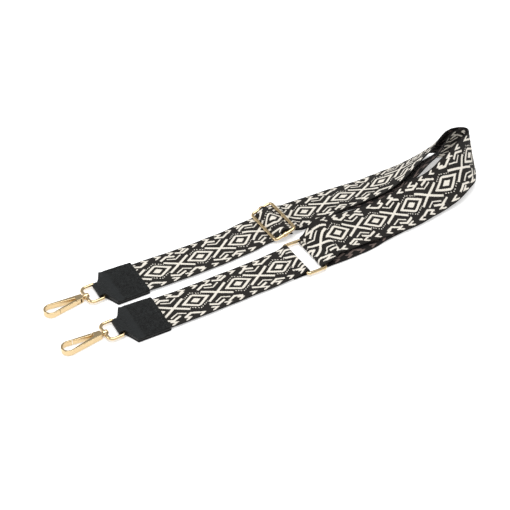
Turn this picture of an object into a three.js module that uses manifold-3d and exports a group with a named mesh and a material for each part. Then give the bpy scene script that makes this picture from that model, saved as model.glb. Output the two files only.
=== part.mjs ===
// Adjustable shoulder strap of flat patterned webbing: two snap hooks on swivel loops, two leather tabs,
// a sliding buckle with a centre bar and a rectangular ring.
// Millimetres, +Z up. +X runs along the two straight arms, away from the hooks. The strap lies on z = 0.
import * as THREE from 'three';
import { mergeVertices } from 'three/addons/utils/BufferGeometryUtils.js';
import Module from 'manifold-3d';

// ---------------------------------------------------------------- driving dimensions
const GAP = 0.3;                 // clearance between touching pieces
const ORIGIN_X = -49.85;          // the model is moved by these so that its origin is the centre of its footprint
const ORIGIN_Y = -3.12;
// webbing
const WEB_WIDTH = 50;
const WEB_THICKNESS = 1.6;
// leather tabs, measured from the loop bar's axis
const TAB_BACK = 49;             // from the bar to the webbing's side edge
const TAB_FRONT = 3.6;           // from the bar to the fold
const TAB_HALF = 27.9;
const TAB_HALF_BACK = 26.9;      // a little narrower at the webbing end
const NECK_HALF = 10.9;
const TAB_THICKNESS = 5.2;
const FOLD_R = 3.9;
const AXIS_Z = 3.95;              // height of the loop bar and of the swivel's axis
const POCKET_DEPTH = 30.5;
const POCKET_HEIGHT = 2.2;
const GROOVE_X = -44.6;
const TAB_A = [-170.79, -33.57, -1.8];   // bar's place and the tab's turn about z, degrees
const TAB_B = [-165.2, 29.21, -0.8];
const HOOK_A_TURN = 183.6;       // direction of each loop and hook, degrees
const HOOK_B_TURN = 184.5;
// swivel loop
const WIRE_LOOP = 3.7;
const LOOP_DEPTH = 16.6;         // bar centre to far bar centre
const LOOP_WIDTH = 26.4;
const LOOP_CORNER = 5.6;
const LOOP_CORNER_BAR = 2.2;     // the corners at the leather are tighter
const BOSS_R = 3.5;
const BOSS_LENGTH = 4.5;
const SWIVEL_R = 1.8;
const RIVET_HEAD_R = 2.9;
const RIVET_DEPTH = 2.0;
// snap hook
const HOOK_LENGTH = 46.8;
const HOOK_WIDTH = 16.6;
const HOOK_BAND = 2.1;          // at the tip; the arms thicken towards the head
const HOOK_THICKNESS = 6.6;      // height of the band
const GATE_THICKNESS = 6.2;
const ROOT_THICKNESS = 4.2;      // the gate between the cheeks of the head
const GATE_JOINT_X = 30;
const HEAD_LENGTH = 9.9;         // the cheeks end here on the gate's side
const APEX_X = 9.0;              // where the two arms meet
const SHOULDER_R = 2.9;
const SLOT_X0 = 3.3;
const SLOT_HALF = 2.4;
const PIN_R = 0.8;
const PIVOT_X = 6.0;
const PIVOT_Y = 2.2;
// slider
const SLIDER = [57.8, 36.0, 9.2];
const SLIDER_TILT = 0.30;        // radians, the side away from the tab is raised
const SLIDER_HALF_X = 13.6;      // centreline of the wire
const SLIDER_HALF_Y = 27.6;
const SLIDER_WIRE = 3.8;
const SLIDER_CORNER = 4.0;
const BAR_R = 1.5;
const SLEEVE_R = 2.9;
const SLEEVE_HALF = 2.2;
// ring
const RING = [58.9, -31.6, 4.15];
const RING_HALF_X = 11.6;
const RING_HALF_Y = 27.45;
const RING_WIRE = 3.9;
const RING_CORNER = 2.7;
const THREAD_R = 0.45;

// webbing centrelines: place of the centre and the direction across the width
// long webbing: tab b, over the slider, round the turn, round the ring, back underneath and round the slider bar
const LONG_PATH = [
  [-145.7, 28.94, 2.6, 0.014, 1, 0], [-139.2, 28.85, 2.6, 0.014, 1, 0], [-132.2, 28.75, 2.6, 0.014, 1, 0],
  [-125.2, 28.65, 2.6, 0.014, 1, 0], [-116.2, 28.53, 2.6, 0.014, 1, 0], [-108.2, 28.36, 2.6, 0.023, 1, 0],
  [-100.2, 28.17, 2.59, 0.025, 1, 0], [-92.2, 27.97, 2.58, 0.023, 1, 0], [-84.2, 27.8, 2.57, 0.019, 1, 0],
  [-76.2, 27.68, 2.55, 0.011, 1, 0], [-68.2, 27.63, 2.52, 0, 1, 0], [-60.2, 27.68, 2.5, -0.014, 1, 0],
  [-52.2, 27.84, 2.42, -0.026, 1, 0], [-44.2, 28.08, 2.33, -0.033, 0.999, 0], [-36.2, 28.37, 2.27, -0.038, 0.999, 0],
  [-28.2, 28.7, 2.23, -0.047, 0.999, 0], [-20.2, 29.14, 2.2, -0.063, 0.998, 0], [-12.2, 29.7, 2.15, -0.074, 0.997, 0],
  [-4.2, 30.29, 2.1, -0.072, 0.997, 0], [3.8, 30.83, 2.1, -0.07, 0.998, 0], [11.8, 31.55, 2.1, -0.119, 0.993, 0],
  [19.8, 32.87, 2.1, -0.202, 0.979, 0], [27.8, 34.58, 2.1, -0.197, 0.98, 0], [44.81, 36, 2.13, 0, 1, 0],
  [45.49, 36, 2.21, 0, 1, 0], [46.13, 36, 2.43, 0, 1, 0], [46.71, 36, 2.8, 0, 1, 0],
  [47.19, 36, 3.28, 0, 1, 0], [54.2, 36, 12.07, 0, 1, 0], [54.74, 36, 12.64, 0, 1, 0],
  [55.37, 36, 13.11, 0, 1, 0], [56.07, 36, 13.46, 0, 1, 0], [56.82, 36, 13.69, 0, 1, 0],
  [57.6, 36, 13.8, 0, 1, 0], [58.38, 36, 13.76, 0, 1, 0], [59.15, 36, 13.6, 0, 1, 0],
  [69.9, 36, 10.3, 0, 1, 0], [69.99, 36, 10.28, 0, 1, 0], [70.08, 36, 10.25, 0, 1, 0],
  [70.17, 36, 10.23, 0, 1, 0], [83.56, 37.06, 5.33, 0, 1, 0], [91.56, 37.72, 4.9, -0.001, 1, 0.001],
  [99.56, 38.19, 4.6, -0.001, 1, -0.002], [107.55, 38.37, 4.62, 0.001, 1, -0.014], [115.55, 38.3, 5.02, 0.002, 0.999, -0.037],
  [123.54, 38.13, 5.68, 0.002, 0.998, -0.07], [131.53, 38.1, 6.39, 0, 0.995, -0.102], [139.52, 38.16, 6.88, -0.003, 0.993, -0.122],
  [147.51, 38.25, 7.15, -0.007, 0.991, -0.132], [155.5, 37.55, 7.43, -0.013, 0.99, -0.138], [163.49, 36.89, 7.78, -0.018, 0.989, -0.147],
  [171.48, 36.3, 8.25, -0.025, 0.987, -0.159], [179.46, 35.77, 8.8, -0.032, 0.984, -0.175], [187.44, 35.32, 9.44, -0.04, 0.98, -0.194],
  [195.4, 34.96, 10.15, -0.048, 0.975, -0.217], [203.35, 35.53, 10.93, -0.056, 0.968, -0.245], [211.29, 36.24, 11.84, -0.063, 0.958, -0.281],
  [219.19, 37.08, 12.86, -0.069, 0.943, -0.325], [227.06, 38.07, 14.07, -0.072, 0.924, -0.376], [234.89, 39.23, 15.44, -0.072, 0.897, -0.435],
  [242.66, 40.56, 16.9, -0.067, 0.864, -0.498], [250.36, 42.09, 18.3, -0.057, 0.827, -0.559], [258.01, 43.76, 19.47, -0.044, 0.792, -0.609],
  [265.63, 45.49, 20.4, -0.027, 0.764, -0.645], [273.27, 47.13, 21.31, -0.003, 0.74, -0.672], [280.96, 49.48, 22.42, 0.034, 0.711, -0.703],
  [288.75, 51.13, 23.64, 0.087, 0.659, -0.747], [296.57, 51.85, 24.77, 0.146, 0.578, -0.803], [304.27, 51.37, 25.76, 0.193, 0.466, -0.864],
  [311.63, 49.64, 26.63, 0.214, 0.327, -0.92], [319.27, 45.83, 27.31, 0.209, 0.177, -0.962], [325.81, 40.12, 27.89, 0.184, 0.044, -0.982],
  [330.62, 33.3, 28.58, 0.159, -0.059, -0.986], [331.84, 26.27, 29.38, 0.147, -0.13, -0.981], [329.8, 19.44, 30.03, 0.159, -0.189, -0.969],
  [325.23, 13.55, 30.33, 0.196, -0.255, -0.947], [318.93, 8.96, 30.06, 0.256, -0.342, -0.904], [311.84, 4.16, 29.36, 0.324, -0.439, -0.838],
  [304.56, -0.31, 28.3, 0.385, -0.533, -0.753], [297.29, -4.76, 27.05, 0.431, -0.613, -0.663], [289.99, -7.34, 25.74, 0.458, -0.675, -0.579],
  [282.69, -10.12, 24.43, 0.455, -0.718, -0.527], [275.31, -13.1, 23.12, 0.427, -0.748, -0.508], [267.69, -15.58, 21.8, 0.379, -0.766, -0.52],
  [259.89, -17.66, 20.53, 0.321, -0.776, -0.543], [251.93, -19.22, 19.58, 0.263, -0.781, -0.566], [244.17, -20.57, 19.11, 0.209, -0.788, -0.579],
  [236.34, -21.78, 18.77, 0.16, -0.802, -0.575], [228.46, -22.59, 18.09, 0.119, -0.827, -0.55], [220.56, -23.28, 16.92, 0.085, -0.857, -0.507],
  [212.65, -23.77, 15.5, 0.058, -0.887, -0.458], [204.74, -24.03, 14.15, 0.038, -0.91, -0.413], [196.8, -24.27, 13.01, 0.025, -0.927, -0.374],
  [188.85, -24.26, 12.12, 0.018, -0.941, -0.337], [180.87, -24.33, 11.29, 0.016, -0.954, -0.299], [172.87, -23.89, 10.58, 0.016, -0.965, -0.262],
  [164.88, -23.55, 10.19, 0.019, -0.973, -0.232], [156.89, -23.17, 10.15, 0.023, -0.977, -0.214], [148.9, -22.84, 10.34, 0.026, -0.977, -0.21],
  [140.92, -22.64, 10.64, 0.03, -0.976, -0.216], [132.93, -22.48, 10.98, 0.033, -0.973, -0.229], [124.95, -22.86, 11.83, 0.035, -0.964, -0.264],
  [116.97, -23.27, 12.73, 0.036, -0.953, -0.301], [109, -23.69, 13.64, 0.036, -0.94, -0.34], [101.02, -24.08, 14.44, 0.036, -0.926, -0.377],
  [93.03, -24.4, 15.01, 0.036, -0.913, -0.406], [80.5, -28.45, 9.3, 0.018, -0.981, -0.196], [76.5, -30.17, 8.49, 0.009, -0.995, -0.097],
  [73.4, -31.15, 7.85, 0.003, -0.999, -0.037], [69.89, -31.6, 7.14, 0, -1, 0], [68.86, -31.6, 6.72, 0, -1, 0],
  [68.04, -31.6, 5.96, 0, -1, 0], [67.56, -31.6, 4.95, 0, -1, 0], [67.47, -31.6, 3.84, 0, -1, 0],
  [67.78, -31.6, 2.77, 0, -1, 0], [68.45, -31.6, 1.89, 0, -1, 0], [69.4, -31.6, 1.3, 0, -1, 0],
  [70.5, -31.6, 1.1, 0, -1, 0], [76.5, -31.6, 1.15, 0, -1, 0], [93.35, -31.81, 1.25, 0.01, -1, 0],
  [101.33, -31.92, 1.25, 0.026, -1, 0], [109.3, -31.68, 1.25, 0.037, -0.999, 0], [117.27, -31.26, 1.25, 0.037, -0.999, 0],
  [125.23, -30.76, 1.25, 0.036, -0.999, 0], [133.17, -29.69, 1.25, 0.034, -0.999, 0], [141.1, -28.68, 1.31, 0.03, -1, -0.002],
  [149.02, -27.37, 1.98, 0.027, -0.999, -0.022], [156.96, -26.08, 3.14, 0.023, -0.998, -0.059], [164.95, -24.94, 4.6, 0.019, -0.993, -0.114],
  [173, -24.06, 6.36, 0.016, -0.983, -0.185], [181.05, -23.8, 8.31, 0.016, -0.964, -0.264], [189.05, -23.56, 10.01, 0.018, -0.943, -0.332],
  [197.04, -23.47, 11.05, 0.025, -0.927, -0.374], [205.04, -23.05, 12.02, 0.038, -0.91, -0.413], [213.01, -22.52, 13.13, 0.058, -0.887, -0.458],
  [220.87, -21.72, 14.33, 0.085, -0.857, -0.507], [228.6, -20.77, 15.39, 0.119, -0.827, -0.55], [236.26, -19.87, 16.08, 0.16, -0.802, -0.575],
  [243.99, -18.65, 16.43, 0.209, -0.788, -0.579], [251.82, -17.31, 16.89, 0.263, -0.781, -0.566], [259.83, -15.78, 17.82, 0.321, -0.776, -0.543],
  [267.61, -13.75, 19.05, 0.379, -0.766, -0.52], [275.14, -11.32, 20.35, 0.427, -0.748, -0.508], [282.45, -8.27, 21.7, 0.455, -0.718, -0.527],
  [289.71, -5.31, 23.15, 0.458, -0.675, -0.579], [296.66, -2.59, 24.64, 0.431, -0.613, -0.663], [303.5, 1.96, 26.16, 0.385, -0.533, -0.753],
  [310.5, 6.59, 27.57, 0.324, -0.439, -0.838], [317.29, 11.45, 28.66, 0.256, -0.342, -0.904], [323.06, 15.8, 29.27, 0.196, -0.255, -0.947],
  [326.93, 20.87, 29.28, 0.159, -0.189, -0.969], [328.58, 26.41, 28.87, 0.147, -0.13, -0.981], [327.8, 30.89, 28.03, 0.159, -0.059, -0.986],
  [323.77, 35.77, 27.06, 0.184, 0.044, -0.982], [318.07, 39.94, 26.01, 0.209, 0.177, -0.962], [311.37, 42.45, 24.8, 0.214, 0.327, -0.92],
  [304.9, 43.13, 23.45, 0.193, 0.466, -0.864], [297.9, 42.73, 22.03, 0.146, 0.578, -0.803], [290.64, 41.17, 20.55, 0.087, 0.659, -0.747],
  [283.08, 39.73, 19.19, 0.034, 0.711, -0.703], [275.33, 37.49, 17.96, -0.003, 0.74, -0.672], [267.58, 35.94, 17.27, -0.027, 0.764, -0.645],
  [259.99, 34.33, 16.38, -0.044, 0.792, -0.609], [252.38, 32.84, 15.13, -0.057, 0.827, -0.559], [244.66, 31.51, 13.61, -0.067, 0.864, -0.498],
  [236.83, 30.37, 12.03, -0.072, 0.897, -0.435], [228.92, 29.39, 10.56, -0.072, 0.924, -0.376], [220.95, 28.55, 9.27, -0.069, 0.943, -0.325],
  [212.95, 27.85, 8.18, -0.063, 0.958, -0.281], [204.83, 28.02, 7.29, -0.056, 0.968, -0.245], [196.65, 28.3, 6.59, -0.048, 0.975, -0.217],
  [188.49, 29.51, 6.01, -0.04, 0.98, -0.194], [180.35, 30.8, 5.52, -0.032, 0.984, -0.175], [172.21, 32.15, 5.26, -0.025, 0.987, -0.159],
  [164.06, 33.55, 5.07, -0.018, 0.989, -0.147], [155.92, 35, 4.96, -0.013, 0.99, -0.138], [147.81, 36.47, 4.86, -0.007, 0.991, -0.132],
  [139.74, 37.15, 4.69, -0.003, 0.993, -0.122], [131.69, 37.89, 4.31, 0, 0.995, -0.102], [123.72, 37.98, 3.6, 0.002, 0.998, -0.07],
  [115.69, 38.22, 2.92, 0.002, 0.999, -0.037], [107.61, 38.34, 2.52, 0.001, 1, -0.014], [99.52, 38.19, 2.5, -0.001, 1, -0.002],
  [91.46, 37.73, 2.8, -0.001, 1, 0.001], [83.05, 37.06, 3.3, 0, 1, 0], [69.75, 36, 8.18, 0, 1, 0],
  [69.58, 36, 8.21, 0, 1, 0], [69.41, 36, 8.26, 0, 1, 0], [69.24, 36, 8.31, 0, 0.965, 0],
  [58.58, 36, 11.68, 0, 0.965, 0], [57.58, 36, 11.79, 0, 0.965, 0], [56.62, 36, 11.52, 0, 0.965, 0],
  [55.83, 36, 10.89, 0, 0.965, 0], [55.33, 36, 10.02, 0, 0.965, 0], [55.21, 36, 9.02, 0, 0.965, 0],
  [55.47, 36, 8.05, 0, 0.965, 0], [56.08, 36, 7.25, 0, 0.965, 0], [56.95, 36, 6.74, 0, 0.965, 0],
  [70.3, 36, 2.1, 0, 0.965, 0],
];
// short webbing: tab a, over the ring bar and back underneath
const SHORT_PATH = [
  [-151.3, -34.19, 2.6, 0.031, 1, 0], [-144.8, -34.39, 2.6, 0.031, 1, 0], [-137.8, -34.61, 2.6, 0.031, 1, 0],
  [-130.81, -34.83, 2.6, 0.031, 1, 0], [-121.81, -35.11, 2.6, 0.031, 1, 0], [-113.81, -35.28, 2.59, 0.016, 1, 0],
  [-105.81, -35.36, 2.56, 0.006, 1, 0], [-97.81, -35.38, 2.52, -0.002, 1, 0], [-89.81, -35.34, 2.46, -0.009, 1, 0],
  [-81.81, -35.24, 2.41, -0.016, 1, 0], [-73.81, -35.08, 2.35, -0.022, 1, 0], [-65.81, -34.89, 2.29, -0.027, 1, 0],
  [-57.81, -34.66, 2.25, -0.031, 1, 0], [-49.81, -34.4, 2.22, -0.034, 0.999, 0], [-41.81, -34.12, 2.2, -0.036, 0.999, 0],
  [-33.81, -33.84, 2.2, -0.034, 0.999, 0], [-25.81, -33.59, 2.2, -0.029, 1, 0], [-17.81, -33.39, 2.2, -0.021, 1, 0],
  [-9.81, -33.23, 2.2, -0.02, 1, 0], [-1.81, -33.05, 2.2, -0.026, 1, 0], [6.19, -32.8, 2.25, -0.038, 0.999, 0],
  [14.19, -32.46, 2.46, -0.045, 0.999, 0], [22.19, -32.1, 2.75, -0.045, 0.999, 0], [30.19, -31.77, 3.3, -0.037, 0.999, 0],
  [33.3, -31.66, 3.39, -0.032, 0.999, 0], [37.3, -31.6, 3.45, 0, 1, 0], [46.17, -31.6, 6.98, 0, 1, 0],
  [47.34, -31.6, 7.2, 0, 1, 0], [48.5, -31.6, 6.96, 0, 1, 0], [49.48, -31.6, 6.29, 0, 1, 0],
  [50.13, -31.6, 5.3, 0, 1, 0], [50.35, -31.6, 4.13, 0, 1, 0], [50.11, -31.6, 2.97, 0, 1, 0],
  [49.45, -31.6, 1.99, 0, 1, 0], [48.46, -31.6, 1.33, 0, 1, 0], [47.3, -31.6, 1.1, 0, 1, 0],
  [40.3, -31.6, 1.25, 0, 1, 0], [30.3, -31.6, 1.15, 0, 1, 0],
];

// ---------------------------------------------------------------- helpers
const wasm = await Module();
wasm.setup();

// a closed three.js geometry as a solid
function solid(geometry, matrix) {
  const g = geometry.index ? geometry.clone() : mergeVertices(geometry);
  g.deleteAttribute('normal');
  g.deleteAttribute('uv');
  if (matrix) g.applyMatrix4(matrix);
  const m = mergeVertices(g, 1e-4);
  return new wasm.Manifold(new wasm.Mesh({
    numProp: 3,
    vertProperties: new Float32Array(m.attributes.position.array),
    triVerts: new Uint32Array(m.index.array),
  }));
}
function geometryOf(manifold) {
  const m = manifold.getMesh();
  const g = new THREE.BufferGeometry();
  g.setAttribute('position', new THREE.BufferAttribute(new Float32Array(m.vertProperties), 3));
  g.setIndex(new THREE.BufferAttribute(new Uint32Array(m.triVerts), 1));
  return g;
}
const place = (x, y, z, rx = 0, ry = 0, rz = 0) => new THREE.Matrix4().compose(
  new THREE.Vector3(x, y, z), new THREE.Quaternion().setFromEuler(new THREE.Euler(rx, ry, rz, 'ZYX')), new THREE.Vector3(1, 1, 1));
const box = (x0, x1, y0, y1, z0, z1) => solid(new THREE.BoxGeometry(x1 - x0, y1 - y0, z1 - z0), place((x0 + x1) / 2, (y0 + y1) / 2, (z0 + z1) / 2));
const rodX = (r, x0, x1, y, z, n = 16) => solid(new THREE.CylinderGeometry(r, r, x1 - x0, n), place((x0 + x1) / 2, y, z, 0, 0, Math.PI / 2));
const rodY = (r, y0, y1, x, z, n = 16) => solid(new THREE.CylinderGeometry(r, r, y1 - y0, n), place(x, (y0 + y1) / 2, z));
const rodZ = (r, z0, z1, x, y, n = 14) => solid(new THREE.CylinderGeometry(r, r, z1 - z0, n), place(x, y, (z0 + z1) / 2, Math.PI / 2, 0, 0));
// a flat outline in x, y with a rounded rim, centred on z = 0
function plate(shape, thickness, round, curve = 8) {
  return new THREE.ExtrudeGeometry(shape, {
    depth: thickness - 2 * round, bevelEnabled: round > 0, bevelThickness: round, bevelSize: round, bevelOffset: -round,
    bevelSegments: 1, curveSegments: curve,
  }).translate(0, 0, -thickness / 2 + round);
}

// centreline of a rounded rectangle: points with their outward directions
function roundedRectangle(halfX, halfY, cornerFar, steps, cornerNear = cornerFar) {
  const out = [];
  for (const [sx, sy, a0] of [[1, 1, 0], [-1, 1, 90], [-1, -1, 180], [1, -1, 270]]) {
    const corner = sx > 0 ? cornerFar : cornerNear;
    for (let k = 0; k <= steps; k++) {
      const a = (a0 + 90 * k / steps) * Math.PI / 180;
      out.push({ x: sx * (halfX - corner) + corner * Math.cos(a), y: sy * (halfY - corner) + corner * Math.sin(a), nx: Math.cos(a), ny: Math.sin(a) });
    }
  }
  return out;
}
// round wire along a closed flat outline: a torus whose rings are moved onto the outline's points
function wireRing(outline, rAcross, rZ, sides = 10) {
  const n = outline.length;
  const g = new THREE.TorusGeometry(10, 1, sides, n);
  const p = g.attributes.position;
  for (let j = 0; j <= sides; j++) for (let i = 0; i <= n; i++) {
    const o = outline[i % n], v = j / sides * 2 * Math.PI;
    p.setXYZ(j * (n + 1) + i, o.x + rAcross * Math.cos(v) * o.nx, o.y + rAcross * Math.cos(v) * o.ny, rZ * Math.sin(v));
  }
  return g;
}
// flat webbing along stations [x, y, z, wx, wy, wz]: centre and width direction
function webbing(stations, width, thickness) {
  const n = stations.length - 1;
  const g = new THREE.BoxGeometry(1, 1, 1, n, 1, 1);
  const C = stations.map((s) => new THREE.Vector3(s[0], s[1], s[2]));
  const W = stations.map((s) => new THREE.Vector3(s[3], s[4], s[5]));
  const N = C.map((c, i) => {
    const t = C[Math.min(i + 1, n)].clone().sub(C[Math.max(i - 1, 0)]);
    return t.cross(W[i]).normalize();
  });
  const p = g.attributes.position;
  for (let k = 0; k < p.count; k++) {
    const i = Math.round((p.getX(k) + 0.5) * n);
    const v = C[i].clone().addScaledVector(W[i], p.getY(k) * width).addScaledVector(N[i], p.getZ(k) * thickness);
    p.setXYZ(k, v.x, v.y, v.z);
  }
  return g;
}

const GOLD = new THREE.MeshStandardMaterial({ color: 0xd9bd82, roughness: 0.22, metalness: 1.0 });
const STEEL = new THREE.MeshStandardMaterial({ color: 0x9c9a94, roughness: 0.4, metalness: 1.0 });
const LEATHER = new THREE.MeshStandardMaterial({ color: 0x2d302f, roughness: 0.62, metalness: 0.0 });
const WEBBING = new THREE.MeshStandardMaterial({ color: 0x8c867c, roughness: 0.9, metalness: 0.0 });
const THREAD = new THREE.MeshStandardMaterial({ color: 0x1c1c1c, roughness: 0.85, metalness: 0.0 });
const part = new THREE.Group();
function add(name, geometry, material, matrix) {
  const mesh = new THREE.Mesh(geometry, material);
  mesh.name = name;
  if (matrix) mesh.applyMatrix4(matrix);
  part.add(mesh);
  return mesh;
}

// ---------------------------------------------------------------- snap hook
// local frame: x runs from the loop's bar (x = 0, in the leather fold) to the hook's tip, z is up
function hookEnd(tag, gateSide, loopM, hookM) {
  const s = gateSide;
  // swivel loop with its boss
  const loopCentre = LOOP_DEPTH / 2;
  let loop = solid(wireRing(roundedRectangle(LOOP_DEPTH / 2, LOOP_WIDTH / 2, LOOP_CORNER, 4, LOOP_CORNER_BAR), WIRE_LOOP / 2, WIRE_LOOP / 2, 10), place(loopCentre, 0, 0));
  loop = loop.add(rodX(BOSS_R, LOOP_DEPTH - BOSS_LENGTH / 2, LOOP_DEPTH + BOSS_LENGTH / 2, 0, 0, 20));
  loop = loop.subtract(rodX(SWIVEL_R + GAP, LOOP_DEPTH - 6, LOOP_DEPTH + 6, 0, 0, 18));
  add(`swivel_loop_${tag}`, geometryOf(loop), GOLD, loopM);

  // hook local x = 0 at the boss's outer face
  const h0 = LOOP_DEPTH + BOSS_LENGTH / 2 + GAP;
  const H = hookM.clone().multiply(new THREE.Matrix4().makeTranslation(h0, 0, 0));
  const R = HOOK_WIDTH / 2, r0 = R - HOOK_BAND;
  const cx = HOOK_LENGTH - R;
  const ao = Math.PI / 2 + 0.13, ai = Math.PI / 2 + 0.204;   // where the straight arms meet the round end
  const outer = new THREE.Shape();
  outer.moveTo(1.2, -3.1); outer.lineTo(2.2, -3.9);
  outer.absarc(cx, 0, R, -ao, ao, false);
  outer.lineTo(2.2, 3.9); outer.lineTo(1.2, 3.1);
  outer.closePath();
  // the opening, with a small flat where the load bears; on the gate's side its edge stays clear of the root
  const opening = (gate) => {
    const q = new THREE.Path();
    q.moveTo(APEX_X, -0.25);
    q.absarc(cx, 0, r0, -ai, -Math.PI / 18, false);
    q.absarc(cx, 0, r0, Math.PI / 18, ai, false);
    if (gate) { q.lineTo(30, 4.68); q.lineTo(22, 3.3); q.lineTo(16, 2.25); q.lineTo(10.4, 1.6); q.lineTo(APEX_X, 1.6); } else q.lineTo(APEX_X, 0.25);
    q.closePath();
    return q;
  };
  const band = (thickness, gate) => {
    const q = outer.clone();
    q.holes = [opening(gate)];
    return solid(plate(q, thickness, 0.5, 9));
  };

  // region of the sprung arm: from the head to the joint near the tip, on the gate's side
  const wedge = (x0, x1) => {
    const q = new THREE.Shape();
    q.moveTo(x0, 0.26); q.lineTo(x1 + 3.4, 0.26); q.lineTo(x1 - 2.0, 16); q.lineTo(x0, 16); q.closePath();
    return solid(plate(q, 12, 0, 2));
  };
  const upper = (m) => (s > 0 ? m : m.mirror([0, 1, 0]));
  let body = band(HOOK_THICKNESS, false).add(rodX(SHOULDER_R, 0, 2.0, 0, 0, 18));
  body = body.subtract(wedge(HEAD_LENGTH, GATE_JOINT_X + GAP));
  body = body.subtract(box(SLOT_X0, HEAD_LENGTH + 1, -1.9, 9, -SLOT_HALF, SLOT_HALF));
  body = body.subtract(rodZ(PIN_R + GAP, -10, 10, PIVOT_X, PIVOT_Y, 14));
  body = body.subtract(rodX(SWIVEL_R + GAP, -4, RIVET_DEPTH + GAP, 0, 0, 18));
  // keep only the largest piece
  body = body.decompose().sort((a, b) => b.volume() - a.volume())[0];
  add(`hook_body_${tag}`, geometryOf(upper(body)), GOLD, H);

  // the gate: the missing stretch of the band, and its root on the pin
  let gate = band(GATE_THICKNESS, true).intersect(wedge(HEAD_LENGTH + 0.5, GATE_JOINT_X));
  const root = new THREE.Shape();
  root.moveTo(PIVOT_X + 0.4, PIVOT_Y - 1.6); root.lineTo(11.4, 1.85); root.lineTo(11.4, 4.7); root.lineTo(PIVOT_X - 0.4, PIVOT_Y + 1.7); root.closePath();
  gate = gate.add(solid(plate(root, ROOT_THICKNESS, 0.2, 2))).add(rodZ(1.75, -ROOT_THICKNESS / 2, ROOT_THICKNESS / 2, PIVOT_X, PIVOT_Y, 16));
  gate = gate.subtract(rodZ(PIN_R + 0.08, -10, 10, PIVOT_X, PIVOT_Y, 14));
  gate = gate.decompose().sort((a, b) => b.volume() - a.volume())[0];
  add(`hook_gate_${tag}`, geometryOf(upper(gate)), GOLD, H);
  add(`gate_pin_${tag}`, geometryOf(upper(rodZ(PIN_R, -HOOK_THICKNESS / 2, HOOK_THICKNESS / 2, PIVOT_X, PIVOT_Y, 14))), STEEL, H);

  // hairpin spring between the slot's floor and the gate's root
  const leg = new THREE.CatmullRomCurve3([
    [SLOT_X0 + 0.8, -1.4], [6.0, -1.45], [7.8, -1.4], [8.75, -1.0], [8.75, -0.5], [7.9, -0.12], [PIVOT_X + 0.9, -0.1],
  ].map(([x, y]) => new THREE.Vector3(x, y, 0)));
  const wire = new THREE.Shape();
  wire.absarc(0, 0, 0.25, 0, 2 * Math.PI, false);
  const spring = new THREE.ExtrudeGeometry(wire, { extrudePath: leg, steps: 18, curveSegments: 3, bevelEnabled: false });
  add(`gate_spring_${tag}`, geometryOf(upper(solid(spring))), STEEL, H);

  // swivel rivet: post in the head's bore, through the boss, with its peened head inside the loop
  const back = -(BOSS_LENGTH + 2 * GAP);
  const r = SWIVEL_R;
  const profile = [[0, RIVET_DEPTH], [r, RIVET_DEPTH], [r, back], [RIVET_HEAD_R, back], [RIVET_HEAD_R, back - 0.8], [RIVET_HEAD_R - 1, back - 1.5], [1.0, back - 1.5], [0.8, back - 1.0], [0, back - 1.0]]
    .reverse().map(([a, b]) => new THREE.Vector2(a, b));
  const rivet = solid(new THREE.LatheGeometry(profile, 18), new THREE.Matrix4().makeRotationZ(-Math.PI / 2));
  add(`swivel_rivet_${tag}`, geometryOf(rivet), GOLD, H);
}

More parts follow.
